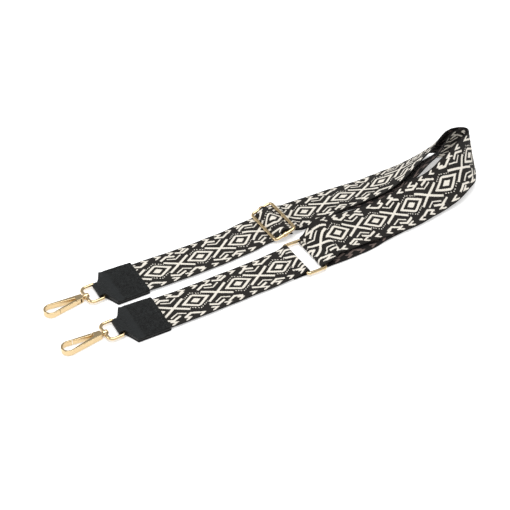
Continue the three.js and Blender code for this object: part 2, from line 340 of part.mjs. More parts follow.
// ---------------------------------------------------------------- leather tab
// local frame: x = 0 at the loop's bar, +x towards the hook, z = 0 on the ground
function leatherTab(tag, X, Y, turn, loopTurn) {
  const M = place(X, Y, 0, 0, 0, Math.PI + turn * Math.PI / 180);
  const o = new THREE.Shape();
  o.moveTo(-TAB_BACK, -TAB_HALF_BACK + 1.2);
  o.lineTo(-TAB_BACK + 1.2, -TAB_HALF_BACK);
  o.lineTo(-10.6, -TAB_HALF + 0.2);
  o.bezierCurveTo(-8.0, -21.8, -4.9, -NECK_HALF - 3.5, -2.5, -NECK_HALF);
  o.lineTo(0.5, -NECK_HALF);
  o.lineTo(0.5, NECK_HALF);
  o.lineTo(-2.5, NECK_HALF);
  o.bezierCurveTo(-4.9, NECK_HALF + 3.5, -8.0, 21.8, -10.6, TAB_HALF - 0.2);
  o.lineTo(-TAB_BACK + 1.2, TAB_HALF_BACK);
  o.lineTo(-TAB_BACK, TAB_HALF_BACK - 1.2);
  o.closePath();
  let tab = solid(plate(o, TAB_THICKNESS, 0.7, 6), place(0, 0, TAB_THICKNESS / 2));
  // the fold round the bar, thicker than the flat panel
  const f = new THREE.Shape();
  f.moveTo(-13, 0.6); f.lineTo(0, AXIS_Z - FOLD_R);
  f.absarc(0, AXIS_Z, FOLD_R, -Math.PI / 2, Math.PI / 2, false);
  f.lineTo(-4, 7.3); f.lineTo(-14, 4.6); f.closePath();
  const fold = solid(new THREE.ExtrudeGeometry(f, { depth: 2 * NECK_HALF, bevelEnabled: false, curveSegments: 9 }),
    new THREE.Matrix4().makeRotationX(Math.PI / 2).setPosition(0, NECK_HALF, 0));
  tab = tab.add(fold);
  const skew = (loopTurn - 180 - turn) * Math.PI / 180;
  const bore = solid(new THREE.CylinderGeometry(WIRE_LOOP / 2 + GAP, WIRE_LOOP / 2 + GAP, 60, 16), place(0, 0, AXIS_Z, 0, 0, skew));
  tab = tab.subtract(bore);
  tab = tab.subtract(box(-TAB_BACK - 2, -TAB_BACK + POCKET_DEPTH, -WEB_WIDTH / 2 - GAP, WEB_WIDTH / 2 + GAP, 2.6 - POCKET_HEIGHT / 2, 2.6 + POCKET_HEIGHT / 2));
  tab = tab.subtract(box(GROOVE_X - 0.8, GROOVE_X + 0.8, -TAB_HALF - 1, TAB_HALF + 1, TAB_THICKNESS - 0.9, TAB_THICKNESS + 1));
  tab = tab.decompose().sort((a, b) => b.volume() - a.volume())[0];
  add(`leather_tab_${tag}`, geometryOf(tab), LEATHER, M);
  const row = rodY(0.4, -TAB_HALF_BACK + 1.6, TAB_HALF_BACK - 1.6, GROOVE_X, TAB_THICKNESS - 0.9 + GAP + 0.4, 8);
  add(`tab_stitching_${tag}`, geometryOf(row), THREAD, M);
  const loopM = place(X, Y, AXIS_Z, 0, 0, loopTurn * Math.PI / 180);
  return loopM;
}

const frameA = leatherTab('a', ...TAB_A, HOOK_A_TURN);
const frameB = leatherTab('b', ...TAB_B, HOOK_B_TURN);
hookEnd('a', -1, frameA, frameA);
hookEnd('b', 1, frameB, frameB);

// ---------------------------------------------------------------- webbing
add('long_webbing', webbing(LONG_PATH, WEB_WIDTH, WEB_THICKNESS), WEBBING);
add('short_webbing', webbing(SHORT_PATH, WEB_WIDTH, WEB_THICKNESS), WEBBING);

// ---------------------------------------------------------------- slider
const sliderM = place(SLIDER[0], SLIDER[1], SLIDER[2], 0, -SLIDER_TILT, 0);
add('slider_frame', wireRing(roundedRectangle(SLIDER_HALF_X, SLIDER_HALF_Y, SLIDER_CORNER, 5), SLIDER_WIRE / 2, SLIDER_WIRE / 2, 12), GOLD, sliderM);
const barEnd = SLIDER_HALF_Y - SLIDER_WIRE / 2 - 0.55;
let bar = rodY(BAR_R, -barEnd, barEnd, 0, 0, 16);
for (const sy of [-1, 1]) {
  bar = bar.add(rodX(SLEEVE_R, -SLEEVE_HALF, SLEEVE_HALF, sy * SLIDER_HALF_Y, 0, 18));
}
for (const sy of [-1, 1]) {
  bar = bar.subtract(rodX(SLIDER_WIRE / 2 + 0.25, -SLEEVE_HALF - 1, SLEEVE_HALF + 1, sy * SLIDER_HALF_Y, 0, 18));
}
add('slider_bar', geometryOf(bar), GOLD, sliderM);
// thread row under the fold's end
add('slider_fold_stitching', geometryOf(rodY(THREAD_R, -23, 23, 0, 0, 8)), THREAD, place(SLIDER[0] + 8.4, SLIDER[1], 1.75));

// ---------------------------------------------------------------- ring
add('ring', wireRing(roundedRectangle(RING_HALF_X, RING_HALF_Y, RING_CORNER, 5), RING_WIRE / 2, RING_WIRE / 2, 12), GOLD, place(...RING));
add('ring_fold_stitching', geometryOf(rodY(THREAD_R, -23.5, 23.5, 0, 0, 8)), THREAD, place(RING[0] - RING_HALF_X - 10, RING[1], 3.45 + WEB_THICKNESS / 2 + GAP + THREAD_R));

part.position.set(ORIGIN_X, ORIGIN_Y, 0);
const model = new THREE.Group();
model.add(part);
export default model;
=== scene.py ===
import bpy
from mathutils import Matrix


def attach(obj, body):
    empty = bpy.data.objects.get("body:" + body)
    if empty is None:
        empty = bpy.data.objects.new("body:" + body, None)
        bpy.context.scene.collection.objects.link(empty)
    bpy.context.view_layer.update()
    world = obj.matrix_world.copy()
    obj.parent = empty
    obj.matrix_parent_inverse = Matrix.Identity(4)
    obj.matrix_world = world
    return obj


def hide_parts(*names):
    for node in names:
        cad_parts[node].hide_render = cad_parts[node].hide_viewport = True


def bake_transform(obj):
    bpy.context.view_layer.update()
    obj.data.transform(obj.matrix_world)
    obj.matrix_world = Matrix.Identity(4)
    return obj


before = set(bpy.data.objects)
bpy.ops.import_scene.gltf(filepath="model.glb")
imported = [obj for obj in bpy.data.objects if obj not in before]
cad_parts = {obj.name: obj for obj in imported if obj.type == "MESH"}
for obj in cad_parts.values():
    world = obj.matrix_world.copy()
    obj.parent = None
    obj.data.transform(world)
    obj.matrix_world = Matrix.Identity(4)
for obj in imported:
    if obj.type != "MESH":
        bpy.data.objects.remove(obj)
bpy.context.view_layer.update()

import math

import bmesh
import bpy
import numpy as np
from mathutils import Matrix, Vector

MM = 0.001
ORIGIN = np.array([-49.85, -3.12, 0.0])      # shift from the path tables to the row frame, mm

# ------------------------------------------------------------------ camera
camera_data = bpy.data.cameras.new("camera")
camera_data.sensor_fit = "HORIZONTAL"
camera_data.sensor_width = 36.0
camera_data.lens = 1133.4007 / 510.0 * 36.0
camera_data.shift_x = (255.0 - 245.0167) / 510.0
camera_data.shift_y = (260.4206 - 255.0) / 510.0
camera_data.clip_start = 0.05
camera_data.clip_end = 20.0
camera = bpy.data.objects.new("camera", camera_data)
bpy.context.collection.objects.link(camera)
_e = 0.6967550819563
_d = 1.274962
_psi = math.radians(29.5)
_aim = Vector((-0.04985, -0.00312, 0.0))
_away = Vector((-math.sin(_psi) * math.cos(_e), -math.cos(_psi) * math.cos(_e), math.sin(_e)))
camera.location = _aim + _away * _d
camera.rotation_euler = (-_away).to_track_quat("-Z", "Y").to_euler()
bpy.context.scene.camera = camera

# ------------------------------------------------------------------ path tables, mm: place of the centre, direction across the width
LONG_PATH = [
    (-145.7, 28.94, 2.6, 0.014, 1, 0), (-139.2, 28.85, 2.6, 0.014, 1, 0), (-132.2, 28.75, 2.6, 0.014, 1, 0),
    (-125.2, 28.65, 2.6, 0.014, 1, 0), (-116.2, 28.53, 2.6, 0.014, 1, 0), (-108.2, 28.36, 2.6, 0.023, 1, 0),
    (-100.2, 28.17, 2.59, 0.025, 1, 0), (-92.2, 27.97, 2.58, 0.023, 1, 0), (-84.2, 27.8, 2.57, 0.019, 1, 0),
    (-76.2, 27.68, 2.55, 0.011, 1, 0), (-68.2, 27.63, 2.52, 0, 1, 0), (-60.2, 27.68, 2.5, -0.014, 1, 0),
    (-52.2, 27.84, 2.42, -0.026, 1, 0), (-44.2, 28.08, 2.33, -0.033, 0.999, 0),
    (-36.2, 28.37, 2.27, -0.038, 0.999, 0), (-28.2, 28.7, 2.23, -0.047, 0.999, 0),
    (-20.2, 29.14, 2.2, -0.063, 0.998, 0), (-12.2, 29.7, 2.15, -0.074, 0.997, 0),
    (-4.2, 30.29, 2.1, -0.072, 0.997, 0), (3.8, 30.83, 2.1, -0.07, 0.998, 0), (11.8, 31.55, 2.1, -0.119, 0.993, 0),
    (19.8, 32.87, 2.1, -0.202, 0.979, 0), (27.8, 34.58, 2.1, -0.197, 0.98, 0), (44.81, 36, 2.13, 0, 1, 0),
    (45.49, 36, 2.21, 0, 1, 0), (46.13, 36, 2.43, 0, 1, 0), (46.71, 36, 2.8, 0, 1, 0), (47.19, 36, 3.28, 0, 1, 0),
    (54.2, 36, 12.07, 0, 1, 0), (54.74, 36, 12.64, 0, 1, 0), (55.37, 36, 13.11, 0, 1, 0), (56.07, 36, 13.46, 0, 1, 0),
    (56.82, 36, 13.69, 0, 1, 0), (57.6, 36, 13.8, 0, 1, 0), (58.38, 36, 13.76, 0, 1, 0), (59.15, 36, 13.6, 0, 1, 0),
    (69.9, 36, 10.3, 0, 1, 0), (69.99, 36, 10.28, 0, 1, 0), (70.08, 36, 10.25, 0, 1, 0), (70.17, 36, 10.23, 0, 1, 0),
    (83.56, 37.06, 5.33, 0, 1, 0), (91.56, 37.72, 4.9, -0.001, 1, 0.001), (99.56, 38.19, 4.6, -0.001, 1, -0.002),
    (107.55, 38.37, 4.62, 0.001, 1, -0.014), (115.55, 38.3, 5.02, 0.002, 0.999, -0.037),
    (123.54, 38.13, 5.68, 0.002, 0.998, -0.07), (131.53, 38.1, 6.39, 0, 0.995, -0.102),
    (139.52, 38.16, 6.88, -0.003, 0.993, -0.122), (147.51, 38.25, 7.15, -0.007, 0.991, -0.132),
    (155.5, 37.55, 7.43, -0.013, 0.99, -0.138), (163.49, 36.89, 7.78, -0.018, 0.989, -0.147),
    (171.48, 36.3, 8.25, -0.025, 0.987, -0.159), (179.46, 35.77, 8.8, -0.032, 0.984, -0.175),
    (187.44, 35.32, 9.44, -0.04, 0.98, -0.194), (195.4, 34.96, 10.15, -0.048, 0.975, -0.217),
    (203.35, 35.53, 10.93, -0.056, 0.968, -0.245), (211.29, 36.24, 11.84, -0.063, 0.958, -0.281),
    (219.19, 37.08, 12.86, -0.069, 0.943, -0.325), (227.06, 38.07, 14.07, -0.072, 0.924, -0.376),
    (234.89, 39.23, 15.44, -0.072, 0.897, -0.435), (242.66, 40.56, 16.9, -0.067, 0.864, -0.498),
    (250.36, 42.09, 18.3, -0.057, 0.827, -0.559), (258.01, 43.76, 19.47, -0.044, 0.792, -0.609),
    (265.63, 45.49, 20.4, -0.027, 0.764, -0.645), (273.27, 47.13, 21.31, -0.003, 0.74, -0.672),
    (280.96, 49.48, 22.42, 0.034, 0.711, -0.703), (288.75, 51.13, 23.64, 0.087, 0.659, -0.747),
    (296.57, 51.85, 24.77, 0.146, 0.578, -0.803), (304.27, 51.37, 25.76, 0.193, 0.466, -0.864),
    (311.63, 49.64, 26.63, 0.214, 0.327, -0.92), (319.27, 45.83, 27.31, 0.209, 0.177, -0.962),
    (325.81, 40.12, 27.89, 0.184, 0.044, -0.982), (330.62, 33.3, 28.58, 0.159, -0.059, -0.986),
    (331.84, 26.27, 29.38, 0.147, -0.13, -0.981), (329.8, 19.44, 30.03, 0.159, -0.189, -0.969),
    (325.23, 13.55, 30.33, 0.196, -0.255, -0.947), (318.93, 8.96, 30.06, 0.256, -0.342, -0.904),
    (311.84, 4.16, 29.36, 0.324, -0.439, -0.838), (304.56, -0.31, 28.3, 0.385, -0.533, -0.753),
    (297.29, -4.76, 27.05, 0.431, -0.613, -0.663), (289.99, -7.34, 25.74, 0.458, -0.675, -0.579),
    (282.69, -10.12, 24.43, 0.455, -0.718, -0.527), (275.31, -13.1, 23.12, 0.427, -0.748, -0.508),
    (267.69, -15.58, 21.8, 0.379, -0.766, -0.52), (259.89, -17.66, 20.53, 0.321, -0.776, -0.543),
    (251.93, -19.22, 19.58, 0.263, -0.781, -0.566), (244.17, -20.57, 19.11, 0.209, -0.788, -0.579),
    (236.34, -21.78, 18.77, 0.16, -0.802, -0.575), (228.46, -22.59, 18.09, 0.119, -0.827, -0.55),
    (220.56, -23.28, 16.92, 0.085, -0.857, -0.507), (212.65, -23.77, 15.5, 0.058, -0.887, -0.458),
    (204.74, -24.03, 14.15, 0.038, -0.91, -0.413), (196.8, -24.27, 13.01, 0.025, -0.927, -0.374),
    (188.85, -24.26, 12.12, 0.018, -0.941, -0.337), (180.87, -24.33, 11.29, 0.016, -0.954, -0.299),
    (172.87, -23.89, 10.58, 0.016, -0.965, -0.262), (164.88, -23.55, 10.19, 0.019, -0.973, -0.232),
    (156.89, -23.17, 10.15, 0.023, -0.977, -0.214), (148.9, -22.84, 10.34, 0.026, -0.977, -0.21),
    (140.92, -22.64, 10.64, 0.03, -0.976, -0.216), (132.93, -22.48, 10.98, 0.033, -0.973, -0.229),
    (124.95, -22.86, 11.83, 0.035, -0.964, -0.264), (116.97, -23.27, 12.73, 0.036, -0.953, -0.301),
    (109, -23.69, 13.64, 0.036, -0.94, -0.34), (101.02, -24.08, 14.44, 0.036, -0.926, -0.377),
    (93.03, -24.4, 15.01, 0.036, -0.913, -0.406), (80.5, -28.45, 9.3, 0.018, -0.981, -0.196),
    (76.5, -30.17, 8.49, 0.009, -0.995, -0.097), (73.4, -31.15, 7.85, 0.003, -0.999, -0.037),
    (69.89, -31.6, 7.14, 0, -1, 0), (68.86, -31.6, 6.72, 0, -1, 0), (68.04, -31.6, 5.96, 0, -1, 0),
    (67.56, -31.6, 4.95, 0, -1, 0), (67.47, -31.6, 3.84, 0, -1, 0), (67.78, -31.6, 2.77, 0, -1, 0),
    (68.45, -31.6, 1.89, 0, -1, 0), (69.4, -31.6, 1.3, 0, -1, 0), (70.5, -31.6, 1.1, 0, -1, 0),
    (76.5, -31.6, 1.15, 0, -1, 0), (93.35, -31.81, 1.25, 0.01, -1, 0), (101.33, -31.92, 1.25, 0.026, -1, 0),
    (109.3, -31.68, 1.25, 0.037, -0.999, 0), (117.27, -31.26, 1.25, 0.037, -0.999, 0),
    (125.23, -30.76, 1.25, 0.036, -0.999, 0), (133.17, -29.69, 1.25, 0.034, -0.999, 0),
    (141.1, -28.68, 1.31, 0.03, -1, -0.002), (149.02, -27.37, 1.98, 0.027, -0.999, -0.022),
    (156.96, -26.08, 3.14, 0.023, -0.998, -0.059), (164.95, -24.94, 4.6, 0.019, -0.993, -0.114),
    (173, -24.06, 6.36, 0.016, -0.983, -0.185), (181.05, -23.8, 8.31, 0.016, -0.964, -0.264),
    (189.05, -23.56, 10.01, 0.018, -0.943, -0.332), (197.04, -23.47, 11.05, 0.025, -0.927, -0.374),
    (205.04, -23.05, 12.02, 0.038, -0.91, -0.413), (213.01, -22.52, 13.13, 0.058, -0.887, -0.458),
    (220.87, -21.72, 14.33, 0.085, -0.857, -0.507), (228.6, -20.77, 15.39, 0.119, -0.827, -0.55),
    (236.26, -19.87, 16.08, 0.16, -0.802, -0.575), (243.99, -18.65, 16.43, 0.209, -0.788, -0.579),
    (251.82, -17.31, 16.89, 0.263, -0.781, -0.566), (259.83, -15.78, 17.82, 0.321, -0.776, -0.543),
    (267.61, -13.75, 19.05, 0.379, -0.766, -0.52), (275.14, -11.32, 20.35, 0.427, -0.748, -0.508),
    (282.45, -8.27, 21.7, 0.455, -0.718, -0.527), (289.71, -5.31, 23.15, 0.458, -0.675, -0.579),
    (296.66, -2.59, 24.64, 0.431, -0.613, -0.663), (303.5, 1.96, 26.16, 0.385, -0.533, -0.753),
    (310.5, 6.59, 27.57, 0.324, -0.439, -0.838), (317.29, 11.45, 28.66, 0.256, -0.342, -0.904),
    (323.06, 15.8, 29.27, 0.196, -0.255, -0.947), (326.93, 20.87, 29.28, 0.159, -0.189, -0.969),
    (328.58, 26.41, 28.87, 0.147, -0.13, -0.981), (327.8, 30.89, 28.03, 0.159, -0.059, -0.986),
    (323.77, 35.77, 27.06, 0.184, 0.044, -0.982), (318.07, 39.94, 26.01, 0.209, 0.177, -0.962),
    (311.37, 42.45, 24.8, 0.214, 0.327, -0.92), (304.9, 43.13, 23.45, 0.193, 0.466, -0.864),
    (297.9, 42.73, 22.03, 0.146, 0.578, -0.803), (290.64, 41.17, 20.55, 0.087, 0.659, -0.747),
    (283.08, 39.73, 19.19, 0.034, 0.711, -0.703), (275.33, 37.49, 17.96, -0.003, 0.74, -0.672),
    (267.58, 35.94, 17.27, -0.027, 0.764, -0.645), (259.99, 34.33, 16.38, -0.044, 0.792, -0.609),
    (252.38, 32.84, 15.13, -0.057, 0.827, -0.559), (244.66, 31.51, 13.61, -0.067, 0.864, -0.498),
    (236.83, 30.37, 12.03, -0.072, 0.897, -0.435), (228.92, 29.39, 10.56, -0.072, 0.924, -0.376),
    (220.95, 28.55, 9.27, -0.069, 0.943, -0.325), (212.95, 27.85, 8.18, -0.063, 0.958, -0.281),
    (204.83, 28.02, 7.29, -0.056, 0.968, -0.245), (196.65, 28.3, 6.59, -0.048, 0.975, -0.217),
    (188.49, 29.51, 6.01, -0.04, 0.98, -0.194), (180.35, 30.8, 5.52, -0.032, 0.984, -0.175),
    (172.21, 32.15, 5.26, -0.025, 0.987, -0.159), (164.06, 33.55, 5.07, -0.018, 0.989, -0.147),
    (155.92, 35, 4.96, -0.013, 0.99, -0.138), (147.81, 36.47, 4.86, -0.007, 0.991, -0.132),
    (139.74, 37.15, 4.69, -0.003, 0.993, -0.122), (131.69, 37.89, 4.31, 0, 0.995, -0.102),
    (123.72, 37.98, 3.6, 0.002, 0.998, -0.07), (115.69, 38.22, 2.92, 0.002, 0.999, -0.037),
    (107.61, 38.34, 2.52, 0.001, 1, -0.014), (99.52, 38.19, 2.5, -0.001, 1, -0.002),
    (91.46, 37.73, 2.8, -0.001, 1, 0.001), (83.05, 37.06, 3.3, 0, 1, 0), (69.75, 36, 8.18, 0, 1, 0),
    (69.58, 36, 8.21, 0, 1, 0), (69.41, 36, 8.26, 0, 1, 0), (69.24, 36, 8.31, 0, 0.965, 0),
    (58.58, 36, 11.68, 0, 0.965, 0), (57.58, 36, 11.79, 0, 0.965, 0), (56.62, 36, 11.52, 0, 0.965, 0),
    (55.83, 36, 10.89, 0, 0.965, 0), (55.33, 36, 10.02, 0, 0.965, 0), (55.21, 36, 9.02, 0, 0.965, 0),
    (55.47, 36, 8.05, 0, 0.965, 0), (56.08, 36, 7.25, 0, 0.965, 0), (56.95, 36, 6.74, 0, 0.965, 0),
    (70.3, 36, 2.1, 0, 0.965, 0),
]
SHORT_PATH = [
    (-151.3, -34.19, 2.6, 0.031, 1, 0), (-144.8, -34.39, 2.6, 0.031, 1, 0), (-137.8, -34.61, 2.6, 0.031, 1, 0),
    (-130.81, -34.83, 2.6, 0.031, 1, 0), (-121.81, -35.11, 2.6, 0.031, 1, 0), (-113.81, -35.28, 2.59, 0.016, 1, 0),
    (-105.81, -35.36, 2.56, 0.006, 1, 0), (-97.81, -35.38, 2.52, -0.002, 1, 0), (-89.81, -35.34, 2.46, -0.009, 1, 0),
    (-81.81, -35.24, 2.41, -0.016, 1, 0), (-73.81, -35.08, 2.35, -0.022, 1, 0), (-65.81, -34.89, 2.29, -0.027, 1, 0),
    (-57.81, -34.66, 2.25, -0.031, 1, 0), (-49.81, -34.4, 2.22, -0.034, 0.999, 0),
    (-41.81, -34.12, 2.2, -0.036, 0.999, 0), (-33.81, -33.84, 2.2, -0.034, 0.999, 0),
    (-25.81, -33.59, 2.2, -0.029, 1, 0), (-17.81, -33.39, 2.2, -0.021, 1, 0), (-9.81, -33.23, 2.2, -0.02, 1, 0),
    (-1.81, -33.05, 2.2, -0.026, 1, 0), (6.19, -32.8, 2.25, -0.038, 0.999, 0),
    (14.19, -32.46, 2.46, -0.045, 0.999, 0), (22.19, -32.1, 2.75, -0.045, 0.999, 0),
    (30.19, -31.77, 3.3, -0.037, 0.999, 0), (33.3, -31.66, 3.39, -0.032, 0.999, 0), (37.3, -31.6, 3.45, 0, 1, 0),
    (46.17, -31.6, 6.98, 0, 1, 0), (47.34, -31.6, 7.2, 0, 1, 0), (48.5, -31.6, 6.96, 0, 1, 0),
    (49.48, -31.6, 6.29, 0, 1, 0), (50.13, -31.6, 5.3, 0, 1, 0), (50.35, -31.6, 4.13, 0, 1, 0),
    (50.11, -31.6, 2.97, 0, 1, 0), (49.45, -31.6, 1.99, 0, 1, 0), (48.46, -31.6, 1.33, 0, 1, 0),
    (47.3, -31.6, 1.1, 0, 1, 0), (40.3, -31.6, 1.25, 0, 1, 0), (30.3, -31.6, 1.15, 0, 1, 0),
]

# ------------------------------------------------------------------ mesh helpers
def new_object(name, verts_mm, faces, material, smooth=True, place=None, shift=True):
    """A mesh object from millimetre points; place is a 4x4 matrix in the tables' frame, shift moves to the row frame."""
    v = np.asarray(verts_mm, float)
    if place is not None:
        m = np.array(place, float)
        v = v @ m[:3, :3].T + m[:3, 3]
    if shift:
        v = v + ORIGIN
    mesh = bpy.data.meshes.new(name)
    mesh.from_pydata((v * MM).tolist(), [], [list(map(int, f)) for f in faces])
    mesh.validate()
    # end caps are flat, so that the shading runs straight on to the next piece
    mesh.polygons.foreach_set("use_smooth", [smooth and p.loop_total <= 4 for p in mesh.polygons])
    mesh.materials.append(material)
    o = bpy.data.objects.new(name, mesh)
    bpy.context.collection.objects.link(o)
    return o


def attribute(o, name, values):
    a = o.data.attributes.new(name, "FLOAT_VECTOR", "POINT")
    a.data.foreach_set("vector", np.asarray(values, np.float32).ravel())


def tube(rings, cap=True, close=False):
    """Closed skin over rings (n, m, 3)."""
    rings = np.asarray(rings, float)
    n, m = rings.shape[:2]
    verts = rings.reshape(-1, 3)
    faces = []
    last = n if close else n - 1
    for i in range(last):
        a, b = i * m, ((i + 1) % n) * m
        for j in range(m):
            k = (j + 1) % m
            faces.append((a + j, a + k, b + k, b + j))
    if cap and not close:
        faces.append(tuple(range(m))[::-1])
        faces.append(tuple((n - 1) * m + j for j in range(m)))
    return verts, faces


def merged(*parts):
    verts, faces, k = [], [], 0
    for v, f in parts:
        verts.append(np.asarray(v, float))
        faces += [tuple(i + k for i in q) for q in f]
        k += len(v)
    return np.concatenate(verts), faces


def moved(part, matrix):
    v, f = part
    m = np.array(matrix, float)
    return np.asarray(v, float) @ m[:3, :3].T + m[:3, 3], f


def outward(o):
    bm = bmesh.new()
    bm.from_mesh(o.data)
    bmesh.ops.recalc_face_normals(bm, faces=bm.faces)
    bm.to_mesh(o.data)
    bm.free()
    return o


def baked(o):
    """Turns the modifiers of o into its mesh."""
    dg = bpy.context.evaluated_depsgraph_get()
    mesh = bpy.data.meshes.new_from_object(o.evaluated_get(dg), depsgraph=dg)
    mats = list(o.data.materials)
    o.modifiers.clear()
    o.data = mesh
    if not mesh.materials:
        for m in mats:
            mesh.materials.append(m)
    return o


def cast(o, voxel=0.22, smooth=4, factor=0.5):
    """One fused skin with small fillets, like a polished casting."""
    outward(o)
    r = o.modifiers.new("fuse", "REMESH")
    r.mode = "VOXEL"
    r.voxel_size = voxel * MM
    r.use_smooth_shade = True
    s = o.modifiers.new("polish", "SMOOTH")
    s.factor = factor
    s.iterations = smooth
    return baked(o)


def matrix(x=0, y=0, z=0, turn=0.0, tilt=0.0):
    return Matrix.Translation((x, y, z)) @ Matrix.Rotation(turn, 4, "Z") @ Matrix.Rotation(tilt, 4, "Y")


# ------------------------------------------------------------------ paths
def cut_path(stations):
    """Dense samples of a station table: distance along it, place, tangent, width direction (with its length), normal."""
    P = np.array([s[:3] for s in stations], float)
    W = np.array([s[3:] for s in stations], float)
    n = len(P)
    h = np.linalg.norm(np.diff(P, axis=0), axis=1)
    s = np.r_[0, np.cumsum(h)]
    T = np.empty_like(P)
    for i in range(n):
        T[i] = P[min(i + 1, n - 1)] - P[max(i - 1, 0)]
        T[i] /= np.linalg.norm(T[i])
    out_s, out_p, out_w = [], [], []
    for i in range(n - 1):
        k = max(2, int(math.ceil(h[i] / 0.25)))
        t = np.linspace(0, 1, k, endpoint=False)[:, None]
        p = ((2 * t**3 - 3 * t**2 + 1) * P[i] + (t**3 - 2 * t**2 + t) * h[i] * T[i]
             + (-2 * t**3 + 3 * t**2) * P[i + 1] + (t**3 - t**2) * h[i] * T[i + 1])
        w = (1 - t) * W[i] + t * W[i + 1]
        out_s.append(s[i] + h[i] * t[:, 0])
        out_p.append(p)
        out_w.append(w)
    out_s.append([s[-1]])
    out_p.append(P[-1:])
    out_w.append(W[-1:])
    S, P, W = np.concatenate(out_s), np.concatenate(out_p), np.concatenate(out_w)
    # gentle smoothing of the width direction between stations
    for _ in range(6):
        W[1:-1] = 0.25 * W[:-2] + 0.5 * W[1:-1] + 0.25 * W[2:]
    T = np.gradient(P, axis=0)
    T /= np.linalg.norm(T, axis=1)[:, None]
    size = np.linalg.norm(W, axis=1)[:, None]
    W = W - T * np.sum(T * W, axis=1)[:, None]
    W = W / np.linalg.norm(W, axis=1)[:, None] * size
    N = np.cross(T, W / size)
    # keep samples by distance and by bend
    keep, run = [0], 0.0
    for i in range(1, len(S)):
        ds = np.linalg.norm(P[i] - P[i - 1])
        bend = math.acos(max(-1, min(1, float(T[i] @ T[i - 1]))))
        run += ds / 2.4 + bend / math.radians(7)
        if run >= 1 or i == len(S) - 1:
            keep.append(i)
            run = 0.0
    keep = np.array(keep)
    return S[keep], P[keep], T[keep], W[keep], N[keep]


HALF_WIDTH, HALF_THICK = 24.95, 0.78
_cols = np.linspace(-24.1, 24.1, 33)
_ring = [(v, HALF_THICK, 1.0) for v in _cols]
_ring += [(24.55, 0.66, 0.8), (24.85, 0.38, 0.4), (24.95, 0.0, 0.0), (24.85, -0.38, -0.4), (24.55, -0.66, -0.8)]
_ring += [(v, -HALF_THICK, -1.0) for v in _cols[::-1]]
_ring += [(-24.55, -0.66, -0.8), (-24.85, -0.38, -0.4), (-24.95, 0.0, 0.0), (-24.85, 0.38, 0.4), (-24.55, 0.66, 0.8)]
RING = np.array(_ring)


def webbing_piece(name, path, i0, i1, material, phase, seed=0.0, fade=None):
    """Woven webbing between two samples of a path, with the weave's coordinates as an attribute."""
    S, P, T, W, N = (a[i0:i1 + 1] for a in path)
    n, m = len(S), len(RING)
    v, z, side = RING[:, 0], RING[:, 1], RING[:, 2]
    # slight hand of real cloth: the surface and the edges are never quite straight
    ripple = 0.10 * (np.sin(S[:, None] / 9.7 + v[None] / 13.0 + seed) + 0.6 * np.sin(S[:, None] / 5.3 - v[None] / 7.1 + 1.7 * seed))
    edge = 0.16 * np.sin(S / 6.1 + seed)[:, None] * (np.abs(v) / 25.0)[None] ** 6 * np.sign(v)[None]
    calm = np.ones(n) if fade is None else fade(S)
    ripple = ripple * calm[:, None]
    rings = (P[:, None] + W[:, None] * (v[None] + edge)[..., None] + N[:, None] * (z[None] + ripple)[..., None])
    verts, faces = tube(rings)
    o = new_object(name, verts, faces, material)
    pat = np.zeros((n, m, 3))
    pat[..., 0] = phase(S)[:, None]
    pat[..., 1] = v[None]
    pat[..., 2] = side[None]
    attribute(o, "weave", pat)
    outward(o)
    length = float(np.sum(np.linalg.norm(np.diff(P, axis=0), axis=1)))
    return o, length


# ------------------------------------------------------------------ node helpers
class Num:
    """A number that flows through math nodes."""

    def __init__(self, tree, value):
        self.tree, self.value = tree, value

    def _op(self, op, *others, clamp=False):
        n = self.tree.nodes.new("ShaderNodeMath")
        n.operation = op
        n.use_clamp = clamp
        for i, x in enumerate((self,) + others):
            x = x.value if isinstance(x, Num) else x
            if isinstance(x, (int, float)):
                n.inputs[i].default_value = float(x)
            else:
                self.tree.links.new(x, n.inputs[i])
        return Num(self.tree, n.outputs[0])

    def __add__(self, o): return self._op("ADD", o)
    def __radd__(self, o): return self._op("ADD", o)
    def __sub__(self, o): return self._op("SUBTRACT", o)
    def __rsub__(self, o): return Num(self.tree, o)._op("SUBTRACT", self)
    def __mul__(self, o): return self._op("MULTIPLY", o)
    def __rmul__(self, o): return self._op("MULTIPLY", o)
    def __truediv__(self, o): return self._op("DIVIDE", o)
    def abs(self): return self._op("ABSOLUTE")
    def floor(self): return self._op("FLOOR")
    def frac(self): return self._op("FRACT")
    def sin(self): return self._op("SINE")
    def sqrt(self): return self._op("SQRT")
    def less(self, o): return self._op("LESS_THAN", o)
    def more(self, o): return self._op("GREATER_THAN", o)
    def min(self, o): return self._op("MINIMUM", o)
    def max(self, o): return self._op("MAXIMUM", o)
    def mod(self, o): return self._op("FLOORED_MODULO", o)
    def clamp(self): return self._op("ADD", 0.0, clamp=True)


def material(name):
    m = bpy.data.materials.new(name)
    m.use_nodes = True
    t = m.node_tree
    return m, t, t.nodes["Principled BSDF"]


def noise(tree, scale, detail=2.0, vector=None, rough=0.5):
    n = tree.nodes.new("ShaderNodeTexNoise")
    n.inputs["Scale"].default_value = scale
    n.inputs["Detail"].default_value = detail
    n.inputs["Roughness"].default_value = rough
    if vector is not None:
        tree.links.new(vector, n.inputs["Vector"])
    return n


def object_coordinates(tree):
    return tree.nodes.new("ShaderNodeTexCoord").outputs["Object"]


def bump(tree, height, strength, distance, normal=None):
    b = tree.nodes.new("ShaderNodeBump")
    b.inputs["Strength"].default_value = strength
    b.inputs["Distance"].default_value = distance
    tree.links.new(height, b.inputs["Height"])
    if normal is not None:
        tree.links.new(normal, b.inputs["Normal"])
    return b.outputs["Normal"]


